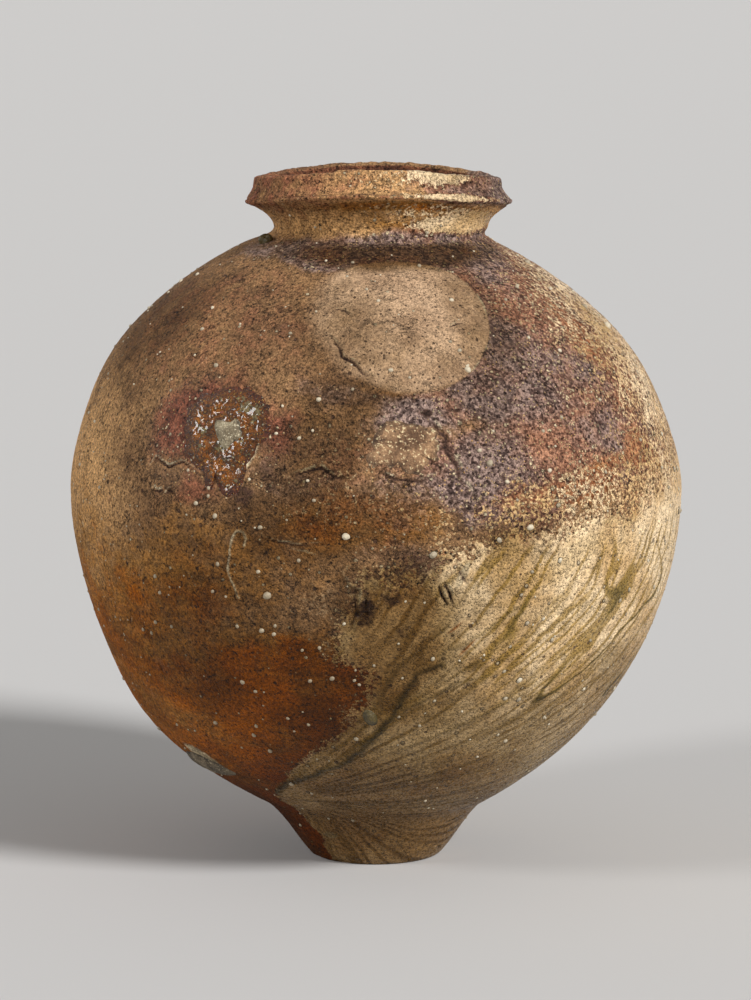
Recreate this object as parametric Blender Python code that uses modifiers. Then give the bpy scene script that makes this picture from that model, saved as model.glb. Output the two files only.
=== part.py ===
"""Stoneware storage jar, raised by hand from clay courses and fired in a wood kiln.

The jar is built the way its potter built it. A floor slab carries the foot course, and each
stiffened course carries the next: bowl, lower wall, two belly courses, shoulder, crown, neck
collar and the two-step rim. Every join is a lapped scarf whose inner edge hangs below its outer
edge, because each coil is pressed on inside the wall. What the kiln left on the skin is separate
too: a pool of natural glass with a chip in it, flakes, a glass tear and the largest feldspar
grains, each bedded in a socket of its own.

Units are metres, +Z is up, and the origin is the centre of the foot's underside.
A bearing is an angle in degrees round the jar: 0 faces -Y, and +90 faces +X.
"""

import math

import bmesh
import bpy
import numpy as np
from mathutils import Matrix, Vector

# Overall form, at the outer skin
FOOT_RADIUS = 0.0432
FOOT_HEIGHT = 0.0385
FOOT_FLARE = 0.0313
BELLY_RADIUS = 0.2018
BELLY_RISE = 0.2086
SHOULDER_RISE = 0.1625
NECK_RADIUS = 0.0700
NECK_CORNER_OVERHANG = 0.0080
NECK_CORNER_RISE = 0.0060
NECK_FLARE_RISE = 0.0196
NECK_FLARE = 0.0121
FLANGE_OVERHANG = 0.0047
FLANGE_RISE = 0.0018
FLANGE_THICKNESS = 0.0023
FLANGE_NOSE = 0.0006
STEP_RISE = 0.0036
STEP_OVERHANG = 0.0030
LIP_RISE = 0.0148
LIP_SET_BACK = 0.0058
LIP_ROUNDING = 0.0036

# Slopes of the skin where curves meet, as run over rise, and how far each slope is carried
FOOT_SIDE_SLOPE = 1.01
BOWL_SLOPE = 1.75
CROWN_SLOPE = 2.14
FLARE_SLOPE = (1.0, 0.8)
FOOT_CARRY = 0.0120
BOWL_CARRY = 0.1300
BELLY_CARRY_DOWN = 0.0436
BELLY_CARRY_UP = 0.0254
CROWN_CARRY = 0.1162
CORNER_CARRY = 0.0030
NECK_CARRY = 0.0098
FLARE_CARRY = 0.0078

# Clay thickness and how the courses are luted together
FLOOR_THICKNESS = 0.0140
WALL = 0.0105
LIP_THICKNESS = 0.0090
LAP = 0.0070
SEAT_GAP = 0.0003
# How far the seat of the foot course slopes down from the flat floor to the slab's edge
SEAT_DROP = 0.0030
# Along the skin, the gap at a join that leaves the seat gap square to its slanted faces
JOIN_GAP = SEAT_GAP * math.hypot(WALL, LAP) / WALL

# Widths of the courses along the skin, from the floor up. The crown takes what is left.
FOOT_COURSE = 0.0370
BOWL_COURSE = 0.0900
LOWER_WALL_COURSE = 0.0860
LOWER_BELLY_COURSE = 0.0727
UPPER_BELLY_COURSE = 0.0430
SHOULDER_COURSE = 0.0970

# How the hand-built jar leaves the true turned form. Shifts, saddle and tilt are lengths, and
# the oval, the lobes, the bulge and the swell are shares of the radius.
OUT_OF_ROUND = 0.0065
OUT_OF_ROUND_BEARING = 35.0
THREE_LOBES = 0.0033
SHOULDER_SHIFT = -0.0038
NECK_SHIFT = 0.0035
RIM_SHIFT = 0.0012
BULGE = 0.0650
BULGE_BEARING = -88.0
BULGE_BEARING_SPREAD = 40.0
BULGE_HEIGHT = 0.0760
BULGE_HEIGHT_SPREAD = 0.0490
SHOULDER_SWELL = 0.0187
SHOULDER_SWELL_HEIGHT = 0.3446
SHOULDER_SWELL_SPREAD = 0.0340
RIM_SADDLE = 0.0033
RIM_TILT = 0.0015
FLANGE_RAGGEDNESS = 0.0007
# Waves of the torn flange: how many round the rim, their share, and where they start in radians
FLANGE_WAVES = ((9.0, 1.0, 0.8), (13.0, 0.7, 0.0), (5.0, 0.5, 2.0))
# How much of the body's oval and lobes the neck, pinched up by itself, does without
NECK_TRUENESS = 0.6

# Facets
SEGMENTS = 56
SKIN_SPACING = 0.0150
LINING_SPACING = 0.0210
CURVE_SAMPLES = 160
PATCH_SPOKES = 22
PATCH_RINGS = 3
CHIP_SPOKES = 9

# What the kiln left on the skin: bearings in degrees, heights above the foot. An outline is a list
# of waves on an ellipse: lobes round it, their share of the radius, and where they start.
POOL_BEARING = -29.2
POOL_HEIGHT = 0.2983
POOL_WIDTH = 0.0610
POOL_LENGTH = 0.0640
POOL_DEPTH = 0.0014
POOL_EDGE = 0.0006
POOL_OUTLINE = ((2, 0.05, 1.6), (3, 0.07, 1.2), (5, 0.06, 0.0))
CHIP_BEARING = -28.8
CHIP_HEIGHT = 0.3026
CHIP_WIDTH = 0.0190
CHIP_DEPTH = 0.0032
CHIP_EDGE = 0.0022
CHIP_OUTLINE = ((3, 0.14, 4.71), (5, 0.05, 0.0))
CRUST_BEARING = 6.1
CRUST_HEIGHT = 0.2961
CRUST_WIDTH = 0.0440
CRUST_LENGTH = 0.0340
CRUST_DEPTH = 0.0016
CRUST_EDGE = 0.0008
CRUST_OUTLINE = ((2, 0.08, 0.0), (3, 0.09, 2.2), (7, 0.06, 0.5))
SCAR_BEARING = -61.0
SCAR_HEIGHT = 0.0720
SCAR_WIDTH = 0.0520
SCAR_LENGTH = 0.0230
SCAR_DEPTH = 0.0022
SCAR_EDGE = 0.0010
SCAR_OUTLINE = ((2, 0.05, 1.0), (3, 0.08, 0.3), (5, 0.05, 1.5))
TEAR_BEARING = -1.1
TEAR_HEIGHT = 0.1247
TEAR_WIDTH = 0.0070
TEAR_LENGTH = 0.0110
SPUR_BEARING = -65.7
SPUR_WIDTH = 0.0090
SPUR_LENGTH = 0.0105
SPUR_SINK = 0.28

# The largest feldspar grains: bearing, height above the foot, width
FELDSPAR_GRAINS = (
    (-5.1, 0.2436, 0.0050),
    (-19.7, 0.2045, 0.0056),
    (21.1, 0.2862, 0.0046),
    (78.6, 0.3552, 0.0056),
    (80.0, 0.3957, 0.0050),
    (78.9, 0.2357, 0.0048),
    (27.9, 0.2460, 0.0044),
    (10.0, 0.2321, 0.0044),
    (76.5, 0.3679, 0.0046),
    (20.5, 0.3413, 0.0046),
    (128.0, 0.1980, 0.0054),
    (-150.0, 0.2910, 0.0056),
)
GRAIN_LENGTH = 0.85
GRAIN_THICKNESS = 0.90
GRAIN_SINK = 0.55

PARTS_COLLECTION = "stoneware_jar"
CUTTERS_COLLECTION = "cutters"


def clear_scene():
    """Removes every object of the startup scene."""
    for obj in list(bpy.data.objects):
        bpy.data.objects.remove(obj, do_unlink=True)


def new_collection(name):
    """A collection linked to the scene."""
    collection = bpy.data.collections.new(name)
    bpy.context.scene.collection.children.link(collection)
    return collection


def make_material(name, colour, roughness, transmission=0.0):
    """A Principled material of one colour."""
    material = bpy.data.materials.new(name)
    material.use_nodes = True
    shader = material.node_tree.nodes["Principled BSDF"]
    shader.inputs["Base Color"].default_value = (*colour, 1.0)
    shader.inputs["Roughness"].default_value = roughness
    shader.inputs["Metallic"].default_value = 0.0
    shader.inputs["Transmission Weight"].default_value = transmission
    return material


def eased(share):
    """A share held between 0 and 1, with a level start and end."""
    held = np.clip(share, 0.0, 1.0)
    return held * held * (3.0 - 2.0 * held)


def bell(distance, spread):
    """1 at no distance, falling smoothly to nothing past about twice the spread."""
    return np.exp(-((distance / spread) ** 2))


def curve_between(start, start_slope, start_carry, end, end_slope, end_carry):
    """Points of a cubic curve between two places on the skin.

    A slope is the direction of travel as (run, rise), and a carry is how far it holds."""
    start, end = np.array(start), np.array(end)
    leave = np.array(start_slope) / math.hypot(*start_slope)
    arrive = np.array(end_slope) / math.hypot(*end_slope)
    pull, push = start + leave * start_carry, end - arrive * end_carry
    t = np.linspace(0.0, 1.0, CURVE_SAMPLES)[:, None]
    return (1 - t) ** 3 * start + 3 * (1 - t) ** 2 * t * pull + 3 * (1 - t) * t**2 * push + t**3 * end


class WallLine:
    """The jar's skin as seen in a cut through the axis, from the foot's edge up to the flange.

    A run is a length along this line, from the foot's edge."""

    def __init__(self):
        foot_edge = (FOOT_RADIUS, 0.0)
        foot_top = (FOOT_RADIUS + FOOT_FLARE, FOOT_HEIGHT)
        belly = (BELLY_RADIUS, FOOT_HEIGHT + BELLY_RISE)
        corner = (NECK_RADIUS + NECK_CORNER_OVERHANG, FOOT_HEIGHT + BELLY_RISE + SHOULDER_RISE)
        waist = (NECK_RADIUS, corner[1] + NECK_CORNER_RISE)
        self.flare_end = (NECK_RADIUS + NECK_FLARE, waist[1] + NECK_FLARE_RISE)
        self.waist_height = waist[1]
        upright, bowl, crown = (0.0, 1.0), (BOWL_SLOPE, 1.0), (-CROWN_SLOPE, 1.0)
        stretches = [
            curve_between(foot_edge, (FOOT_SIDE_SLOPE, 1.0), FOOT_CARRY, foot_top, bowl, FOOT_CARRY),
            curve_between(foot_top, bowl, BOWL_CARRY, belly, upright, BELLY_CARRY_DOWN),
            curve_between(belly, upright, BELLY_CARRY_UP, corner, crown, CROWN_CARRY),
            curve_between(corner, crown, CORNER_CARRY, waist, upright, CORNER_CARRY),
            curve_between(waist, upright, NECK_CARRY, self.flare_end, FLARE_SLOPE, FLARE_CARRY),
        ]
        self.points = np.vstack([stretches[0]] + [s[1:] for s in stretches[1:]])
        steps = np.hypot(*np.diff(self.points, axis=0).T)
        self.runs = np.concatenate([[0.0], np.cumsum(steps)])
        tangents = np.gradient(self.points, self.runs, axis=0)
        tangents /= np.linalg.norm(tangents, axis=1)[:, None]
        self.outward = np.column_stack([tangents[:, 1], -tangents[:, 0]])
        self.length = self.runs[-1]
        corner_index = sum(len(s) - 1 for s in stretches[:3])
        self.corner_run = self.runs[corner_index]

    def at(self, run, depth=0.0):
        """(radius, height) at a run, at a depth below the skin."""
        radius, height = (np.interp(run, self.runs, self.points[:, i]) for i in (0, 1))
        out_radius, out_height = (np.interp(run, self.runs, self.outward[:, i]) for i in (0, 1))
        size = math.hypot(out_radius, out_height)
        return radius - depth * out_radius / size, height - depth * out_height / size

    def run_at_height(self, height, depth=0.0):
        """The run at which the surface at this depth passes a height."""
        heights = [self.at(run, depth)[1] for run in self.runs]
        return float(np.interp(height, heights, self.runs))

    def between(self, low, high, spacing, depth=0.0):
        """Points from one run to another, evenly spaced, at a depth below the skin."""
        count = max(2, math.ceil((high - low) / spacing) + 1)
        return [self.at(run, depth) for run in np.linspace(low, high, count)]


LINE = WallLine()


def shaped_by_hand(points):
    """Moves points of the true turned form to where the potter's hands left them.

    The body is slightly oval and three-lobed, with one bulge low on a side and a swell round the
    shoulder. The shoulder and the neck stand off the axis to opposite sides, the rim rises at
    front and back, and the flange has a ragged edge. The foot's underside stays flat and round."""
    x, y, z = points.T
    bearing = np.arctan2(x, -y)
    above_foot = eased(z / FOOT_HEIGHT)
    oval = OUT_OF_ROUND * np.cos(2.0 * (bearing - math.radians(OUT_OF_ROUND_BEARING)))
    lobes = THREE_LOBES * np.cos(3.0 * bearing)
    belly_height = FOOT_HEIGHT + BELLY_RISE
    corner_height = belly_height + SHOULDER_RISE
    up_the_shoulder = eased((z - belly_height) / SHOULDER_RISE)
    at_the_neck = eased((z - corner_height + 0.5 * LAP) / (NECK_CORNER_RISE + LAP))
    up_the_neck = eased((z - LINE.waist_height) / NECK_FLARE_RISE)
    flange_height = LINE.flare_end[1] + 0.5 * FLANGE_THICKNESS
    near_the_flange = bell(z - flange_height, 2.0 * FLANGE_THICKNESS)
    ragged = sum(size * np.sin(count * bearing + start) for count, size, start in FLANGE_WAVES)
    outside = eased((np.hypot(x, y) - NECK_RADIUS) / NECK_FLARE)
    off_bulge = (np.degrees(bearing) - BULGE_BEARING + 180.0) % 360.0 - 180.0
    bulge = BULGE * bell(off_bulge, BULGE_BEARING_SPREAD) * bell(z - BULGE_HEIGHT, BULGE_HEIGHT_SPREAD)
    swell = SHOULDER_SWELL * bell(z - SHOULDER_SWELL_HEIGHT, SHOULDER_SWELL_SPREAD)
    growth = 1.0 + above_foot * (1.0 - NECK_TRUENESS * at_the_neck) * (oval + lobes + bulge + swell)
    growth = growth + FLANGE_RAGGEDNESS / NECK_RADIUS * ragged * near_the_flange * outside
    at_the_rim = eased((z - flange_height) / LIP_RISE + 0.5)
    shift = SHOULDER_SHIFT * up_the_shoulder + (NECK_SHIFT - SHOULDER_SHIFT) * at_the_neck
    shift = shift + (RIM_SHIFT - NECK_SHIFT) * at_the_rim
    rise = up_the_neck * (RIM_SADDLE * np.cos(2.0 * bearing) + RIM_TILT * np.cos(bearing))
    return np.column_stack([x * growth + shift, y * growth, z + rise])


def wall_frame(bearing, run, sideways=0.0, upwards=0.0):
    """(place, outward direction) on the finished skin.

    It is the place at a bearing and a run, moved sideways round the jar and upwards along the
    skin by lengths in metres."""

    def on_skin(turn, along):
        radius, height = LINE.at(along)
        return np.array([radius * math.sin(turn), -radius * math.cos(turn), height])

    along = run + upwards
    turn = math.radians(bearing) + sideways / LINE.at(run)[0]
    step = 0.0005
    near = np.array([
        on_skin(turn, along),
        on_skin(turn + step / LINE.at(along)[0], along),
        on_skin(turn, along + step),
    ])
    place, beside, above = shaped_by_hand(near)
    outward = np.cross(beside - place, above - place)
    return Vector(place), Vector(outward).normalized()


def solid_from(name, mesh, material, collection):
    """An object for a finished mesh, shaded smooth but for its sharp edges."""
    mesh.name = name
    mesh.materials.clear()
    mesh.materials.append(material)
    mesh.shade_smooth()
    mesh.set_sharp_from_angle(angle=math.radians(35.0))
    obj = bpy.data.objects.new(name, mesh)
    collection.objects.link(obj)
    return obj


def turned(name, section, closed, material, collection):
    """A solid turned round the jar's axis from a section, then shaped by hand.

    The section's (radius, height) points run down its outer side."""
    profile = bpy.data.meshes.new(name)
    corners = [(radius, 0.0, height) for radius, height in section]
    edges = [(i, i + 1) for i in range(len(corners) - 1)]
    if closed:
        edges.append((len(corners) - 1, 0))
    profile.from_pydata(corners, edges, [])
    lathe = bpy.data.objects.new(name + "_profile", profile)
    collection.objects.link(lathe)
    screw = lathe.modifiers.new("turn", "SCREW")
    screw.axis = "Z"
    screw.angle = math.tau
    screw.steps = SEGMENTS
    screw.render_steps = SEGMENTS
    screw.use_merge_vertices = True
    screw.merge_threshold = 0.00001
    graph = bpy.context.evaluated_depsgraph_get()
    mesh = bpy.data.meshes.new_from_object(lathe.evaluated_get(graph))
    bpy.data.objects.remove(lathe, do_unlink=True)
    points = np.empty(len(mesh.vertices) * 3, np.float32)
    mesh.vertices.foreach_get("co", points)
    moved = shaped_by_hand(points.reshape(-1, 3).astype(float))
    mesh.vertices.foreach_set("co", moved.astype(np.float32).ravel())
    mesh.update()
    return solid_from(name, mesh, material, collection)


def slab_edge_run():
    """The run at which the slab's edge ends and the foot course starts."""
    return LINE.run_at_height(FLOOR_THICKNESS - SEAT_DROP)


def floor_slab(material, collection):
    """The disc of clay that the jar starts from. Its edge is the lowest part of the foot.

    Its top is flat inside the foot course, and slopes down outwards under it."""
    flat_radius = LINE.at(LINE.run_at_height(FLOOR_THICKNESS, WALL), WALL)[0] - SEAT_GAP
    rim = LINE.between(0.0, slab_edge_run(), SKIN_SPACING)
    section = [(0.0, FLOOR_THICKNESS), (flat_radius, FLOOR_THICKNESS)] + rim[::-1] + [(0.0, 0.0)]
    return turned("floor_slab", section, False, material, collection)


def foot_course(top, material, collection):
    """The first coil. It stands on the slab's sloping seat, and its upper edge is scarfed."""
    outer_low = LINE.run_at_height(FLOOR_THICKNESS - SEAT_DROP + SEAT_GAP)
    skin = LINE.between(outer_low, top, 0.6 * SKIN_SPACING)
    inner_low = LINE.run_at_height(FLOOR_THICKNESS + SEAT_GAP, WALL)
    lining = LINE.between(inner_low, top - LAP, LINING_SPACING, WALL)
    return turned("foot_course", skin[::-1] + lining, True, material, collection)


def wall_course(name, low, high, material, collection):
    """A course of the wall, scarfed at both edges, from one run to another."""
    skin = LINE.between(low, high, SKIN_SPACING)
    lining = LINE.between(low - LAP, high - LAP, LINING_SPACING, WALL)
    return turned(name, skin[::-1] + lining, True, material, collection)


def neck_collar(low, high, material, collection):
    """The neck: a short collar that starts in the crown's corner and flares to the flange."""
    skin = LINE.between(low, high, 0.3 * SKIN_SPACING)
    lining = LINE.between(low - LAP, high - LAP, 0.4 * LINING_SPACING, WALL)
    return turned("neck_collar", skin[::-1] + lining, True, material, collection)


def rim_band(low, material, collection):
    """The two-step rim: a thin torn flange, and above it an upright band with a rounded lip."""
    flare_radius, flare_height = LINE.at(low)
    edge_radius = flare_radius + FLANGE_OVERHANG
    edge_low = flare_height + FLANGE_RISE
    edge_high = edge_low + FLANGE_THICKNESS
    lip_radius = edge_radius - LIP_SET_BACK
    top = edge_high + LIP_RISE
    inner_radius = lip_radius - LIP_THICKNESS
    inner_seam = LINE.at(low - LAP, WALL)
    outer = [
        (lip_radius - LIP_ROUNDING, top),
        (lip_radius - 0.2 * LIP_ROUNDING, top - 0.2 * LIP_ROUNDING),
        (lip_radius, top - 0.65 * LIP_ROUNDING),
        (lip_radius + 0.2 * STEP_OVERHANG, 0.5 * (top + edge_high)),
        (lip_radius + STEP_OVERHANG, edge_high + STEP_RISE),
        (edge_radius, edge_high),
        (edge_radius + 0.3 * FLANGE_NOSE, 0.5 * (edge_low + edge_high)),
        (edge_radius - FLANGE_NOSE, edge_low),
        (flare_radius, flare_height),
    ]
    inner = [
        inner_seam,
        (0.5 * (inner_seam[0] + inner_radius), 0.5 * (inner_seam[1] + top)),
        (inner_radius, top - LIP_ROUNDING),
        (inner_radius + 0.35 * LIP_ROUNDING, top - 0.2 * LIP_ROUNDING),
    ]
    return turned("rim_band", outer + inner, True, material, collection)


def outline_reach(angle, waves):
    """How far an uneven outline reaches at an angle, as a share of its plain ellipse.

    Each wave is (lobes round the outline, share of the radius, start in radians)."""
    return 1.0 + sum(size * math.cos(lobes * angle + start) for lobes, size, start in waves)


def skin_patch(
    name, place, size, lift, thickness, waves, material, collection,
    spokes=PATCH_SPOKES, rings=PATCH_RINGS,
):
    """A thin solid that lies on the jar's skin and follows it, with an uneven outline.

    place is (bearing, height), size is (width, length), lift is the underside's distance from
    the skin, and thickness is (at the middle, at the outline)."""
    bearing, height = place
    depth, edge = thickness
    run = LINE.run_at_height(height)
    mesh = bpy.data.meshes.new(name)
    form = bmesh.new()

    def layer(upper):
        rows = []
        for ring in range(rings + 1):
            share = ring / rings
            rise = lift + (edge + (depth - edge) * (1.0 - share**2) if upper else 0.0)
            row = []
            for spoke in range(spokes if ring else 1):
                angle = math.tau * spoke / spokes
                reach = share * outline_reach(angle, waves)
                sideways = 0.5 * size[0] * reach * math.cos(angle)
                upwards = 0.5 * size[1] * reach * math.sin(angle)
                skin, outward = wall_frame(bearing, run, sideways, upwards)
                row.append(form.verts.new(skin + outward * rise))
            rows.append(row)
        for inner_row, outer_row in zip(rows, rows[1:]):
            for i in range(spokes):
                j = (i + 1) % spokes
                inside = [inner_row[i], inner_row[j]] if len(inner_row) > 1 else [inner_row[0]]
                face = [outer_row[i], outer_row[j]] + inside[::-1]
                form.faces.new(face if upper else face[::-1])
        return rows[-1]

    top_edge, low_edge = layer(True), layer(False)
    for i in range(spokes):
        j = (i + 1) % spokes
        form.faces.new([low_edge[i], low_edge[j], top_edge[j], top_edge[i]])
    form.to_mesh(mesh)
    form.free()
    return solid_from(name, mesh, material, collection)


def pebble(name, place, size, sink, material, collection):
    """A rounded lump whose size is (width, length, thickness), sunk into the skin by a share.

    place is (bearing, run). It returns the object, turned so that its thickness points outwards."""
    bearing, run = place
    skin, outward = wall_frame(bearing, run)
    up_the_skin = wall_frame(bearing, run, upwards=size[1])[0] - skin
    side = up_the_skin.cross(outward).normalized()
    up = outward.cross(side).normalized()
    turn = Matrix((side, up, outward)).transposed().to_4x4()
    grow = Matrix.Diagonal((*(0.5 * length for length in size), 1.0))
    centre = skin + outward * size[2] * (0.5 - sink)
    placed = Matrix.Translation(centre) @ turn @ grow
    form = bmesh.new()
    bmesh.ops.create_icosphere(form, subdivisions=1, radius=1.0, matrix=placed)
    mesh = bpy.data.meshes.new(name)
    form.to_mesh(mesh)
    form.free()
    return solid_from(name, mesh, material, collection)


def hide_cutter(cutter):
    """Marks an object as a cutter, so that it is never a part."""
    cutter.hide_render = True
    cutter.display_type = "WIRE"


def cut_from(part, cutter):
    """Cuts a cutter's shape out of a part."""
    cut = part.modifiers.new("seat_of_" + cutter.name, "BOOLEAN")
    cut.operation = "DIFFERENCE"
    cut.solver = "EXACT"
    cut.object = cutter


def bed_pebble(name, place, size, sink, material, courses, parts, cutters):
    """Beds a lump in the wall: the lump itself, and a socket in each course that it reaches."""
    lump = pebble(name, place, size, sink, material, parts)
    room = tuple(length + 2.0 * SEAT_GAP for length in size)
    room_sink = (sink * size[2] + SEAT_GAP) / room[2]
    socket = pebble(name + "_socket", place, room, room_sink, material, cutters)
    hide_cutter(socket)
    reach = 0.5 * max(room)
    for part, low, high in courses:
        if low - LAP - reach < place[1] < high + reach:
            cut_from(part, socket)
    return lump


def course_edges():
    """(name, low run, high run) of each course above the foot, up to the neck's corner."""
    widths = (
        ("foot_course", FOOT_COURSE),
        ("bowl_course", BOWL_COURSE),
        ("lower_wall_course", LOWER_WALL_COURSE),
        ("lower_belly_course", LOWER_BELLY_COURSE),
        ("upper_belly_course", UPPER_BELLY_COURSE),
        ("shoulder_course", SHOULDER_COURSE),
    )
    edges, low = [], slab_edge_run()
    for name, width in widths:
        edges.append((name, low, low + width))
        low += width
    edges.append(("crown_course", low, LINE.corner_run))
    return edges


def build_body(clays, parts):
    """The fired clay, course by course. It returns (object, low run, high run) of each course."""
    floor_slab(clays["foot"], parts)
    courses = []
    half_gap = 0.5 * JOIN_GAP
    for name, low, high in course_edges():
        if name == "foot_course":
            made = foot_course(high - half_gap, clays["foot"], parts)
        else:
            clay = clays["shoulder" if name in ("shoulder_course", "crown_course") else "belly"]
            made = wall_course(name, low + half_gap, high - half_gap, clay, parts)
        courses.append((made, low, high))
    neck = neck_collar(LINE.corner_run + half_gap, LINE.length - JOIN_GAP, clays["neck"], parts)
    courses.append((neck, LINE.corner_run, LINE.length))
    rim_band(LINE.length, clays["rim"], parts)
    return courses


def build_kiln_marks(minerals, courses, parts, cutters):
    """What the firing left on the skin: glass, chips, flakes and grains."""
    pool = skin_patch(
        "amber_glass_pool", (POOL_BEARING, POOL_HEIGHT), (POOL_WIDTH, POOL_LENGTH),
        SEAT_GAP, (POOL_DEPTH, POOL_EDGE), POOL_OUTLINE, minerals["amber"], parts,
    )
    chip_place = (CHIP_BEARING, CHIP_HEIGHT)
    skin_patch(
        "clinker_chip", chip_place, (CHIP_WIDTH, CHIP_WIDTH),
        SEAT_GAP, (CHIP_DEPTH, CHIP_EDGE), CHIP_OUTLINE, minerals["clinker"], parts, CHIP_SPOKES, 1,
    )
    room = CHIP_WIDTH + 3.0 * SEAT_GAP
    cutter_depth = 2.0 * (POOL_DEPTH + SEAT_GAP)
    chip_room = skin_patch(
        "clinker_chip_room", chip_place, (room, room),
        -SEAT_GAP, (cutter_depth, cutter_depth), CHIP_OUTLINE, minerals["clinker"], cutters, CHIP_SPOKES, 1,
    )
    hide_cutter(chip_room)
    cut_from(pool, chip_room)
    skin_patch(
        "crust_flake", (CRUST_BEARING, CRUST_HEIGHT), (CRUST_WIDTH, CRUST_LENGTH),
        SEAT_GAP, (CRUST_DEPTH, CRUST_EDGE), CRUST_OUTLINE, minerals["crust"], parts,
    )
    skin_patch(
        "wad_scar_flake", (SCAR_BEARING, SCAR_HEIGHT), (SCAR_WIDTH, SCAR_LENGTH),
        SEAT_GAP, (SCAR_DEPTH, SCAR_EDGE), SCAR_OUTLINE, minerals["clinker"], parts,
    )
    tear_place = (TEAR_BEARING, LINE.run_at_height(TEAR_HEIGHT))
    tear_size = (TEAR_WIDTH, TEAR_LENGTH, TEAR_WIDTH)
    bed_pebble("glass_tear", tear_place, tear_size, GRAIN_SINK, minerals["green"], courses, parts, cutters)
    spur_place = (SPUR_BEARING, LINE.corner_run)
    spur_size = (SPUR_WIDTH, SPUR_LENGTH, SPUR_WIDTH)
    bed_pebble("neck_spur", spur_place, spur_size, SPUR_SINK, minerals["clinker"], courses, parts, cutters)
    for number, (bearing, height, width) in enumerate(FELDSPAR_GRAINS, start=1):
        place = (bearing, LINE.run_at_height(height))
        size = (width, GRAIN_LENGTH * width, GRAIN_THICKNESS * width)
        name = f"feldspar_grain_{number:02d}"
        bed_pebble(name, place, size, GRAIN_SINK, minerals["feldspar"], courses, parts, cutters)


def main():
    """Builds the jar."""
    clear_scene()
    parts = new_collection(PARTS_COLLECTION)
    cutters = new_collection(CUTTERS_COLLECTION)
    clays = {
        "foot": make_material("scorched_foot_clay", (0.36, 0.19, 0.09), 0.72),
        "belly": make_material("ash_glazed_belly_clay", (0.47, 0.31, 0.16), 0.58),
        "shoulder": make_material("ash_crusted_shoulder_clay", (0.28, 0.19, 0.15), 0.70),
        "neck": make_material("tan_neck_clay", (0.44, 0.32, 0.18), 0.66),
        "rim": make_material("pink_rim_clay", (0.38, 0.24, 0.18), 0.74),
    }
    minerals = {
        "amber": make_material("amber_natural_glass", (0.48, 0.24, 0.05), 0.12, 0.2),
        "green": make_material("green_natural_glass", (0.10, 0.11, 0.04), 0.10, 0.2),
        "clinker": make_material("grey_kiln_clinker", (0.42, 0.39, 0.32), 0.80),
        "crust": make_material("peach_clay_crust", (0.50, 0.34, 0.21), 0.78),
        "feldspar": make_material("white_feldspar", (0.74, 0.72, 0.68), 0.45),
    }
    courses = build_body(clays, parts)
    build_kiln_marks(minerals, courses, parts, cutters)


main()
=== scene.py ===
"""A large wood-fired stoneware storage jar, dressed over its CAD frame.

The jar was raised by hand from coils and fired for days in a wood kiln, lying a little on its
side. Ash settled on the shoulder as a dry purple crust, and on the right it melted to a cream
glass that ran down and across in green rivulets. The left stayed bare and took the flame's tan
and orange. Feldspar grains in the clay melted to white beads. The courses of the body are closed
shells whose skins share their edges, so that the surface runs on across every join.

Lengths are metres and +Z is up. A bearing is an angle in degrees round the jar: 0 faces -Y and
+90 faces +X. A run is a length up the outer skin from the foot's edge. A mark is an amount from
0 to 1 of what the kiln left at a place, or of shade painted there, kept on the mesh as an
attribute of that name.
"""

import logging
import math
from dataclasses import dataclass, field
from enum import Enum
from typing import Iterable, Optional, Sequence

import bpy
import numpy as np
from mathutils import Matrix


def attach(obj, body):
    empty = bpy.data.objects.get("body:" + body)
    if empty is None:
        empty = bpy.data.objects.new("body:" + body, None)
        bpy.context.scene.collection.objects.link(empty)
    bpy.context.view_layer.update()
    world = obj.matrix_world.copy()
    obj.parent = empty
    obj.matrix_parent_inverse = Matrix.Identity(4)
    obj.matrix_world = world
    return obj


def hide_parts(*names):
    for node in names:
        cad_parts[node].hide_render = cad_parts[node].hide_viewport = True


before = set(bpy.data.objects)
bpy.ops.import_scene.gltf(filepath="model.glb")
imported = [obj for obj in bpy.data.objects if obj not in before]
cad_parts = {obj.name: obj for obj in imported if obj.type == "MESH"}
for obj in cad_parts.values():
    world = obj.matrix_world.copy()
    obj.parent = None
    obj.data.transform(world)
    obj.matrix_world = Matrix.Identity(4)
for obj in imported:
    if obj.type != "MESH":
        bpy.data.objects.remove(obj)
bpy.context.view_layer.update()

LOG = logging.getLogger("stoneware_jar")
BODY = "root"
LOW_JOIN, HIGH_JOIN = 0.227, 0.3427
RANDOM_LATTICE = np.random.default_rng(7).uniform(-1.0, 1.0, 4096)
Array = np.ndarray
Triple = tuple[float, float, float]
Spot = tuple[float, float]
Route = tuple[Spot, ...]
Colour = tuple[float, float, float, float]
Pair = tuple[Colour, Colour]


def eased(share: Array) -> Array:
    """A share held between 0 and 1, with a level start and end."""
    held = np.clip(share, 0.0, 1.0)
    return held * held * (3.0 - 2.0 * held)


def bell(distance: Array, spread: float) -> Array:
    """1 at no distance, falling smoothly to nothing past about twice the spread."""
    return np.exp(-((distance / spread) ** 2))


def turned_from(bearing: Array, other: float) -> Array:
    """How far a bearing lies from another one, between -180 and 180 degrees."""
    return (bearing - other + 180.0) % 360.0 - 180.0


def screen_colour(red: float, green: float, blue: float) -> Colour:
    """A colour given by its screen values from 0 to 255, as linear shares with full cover."""
    shares = np.array([red, green, blue]) / 255.0
    low, high = shares / 12.92, ((shares + 0.055) / 1.055) ** 2.4
    return (*(float(v) for v in np.where(shares <= 0.04045, low, high)), 1.0)


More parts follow.
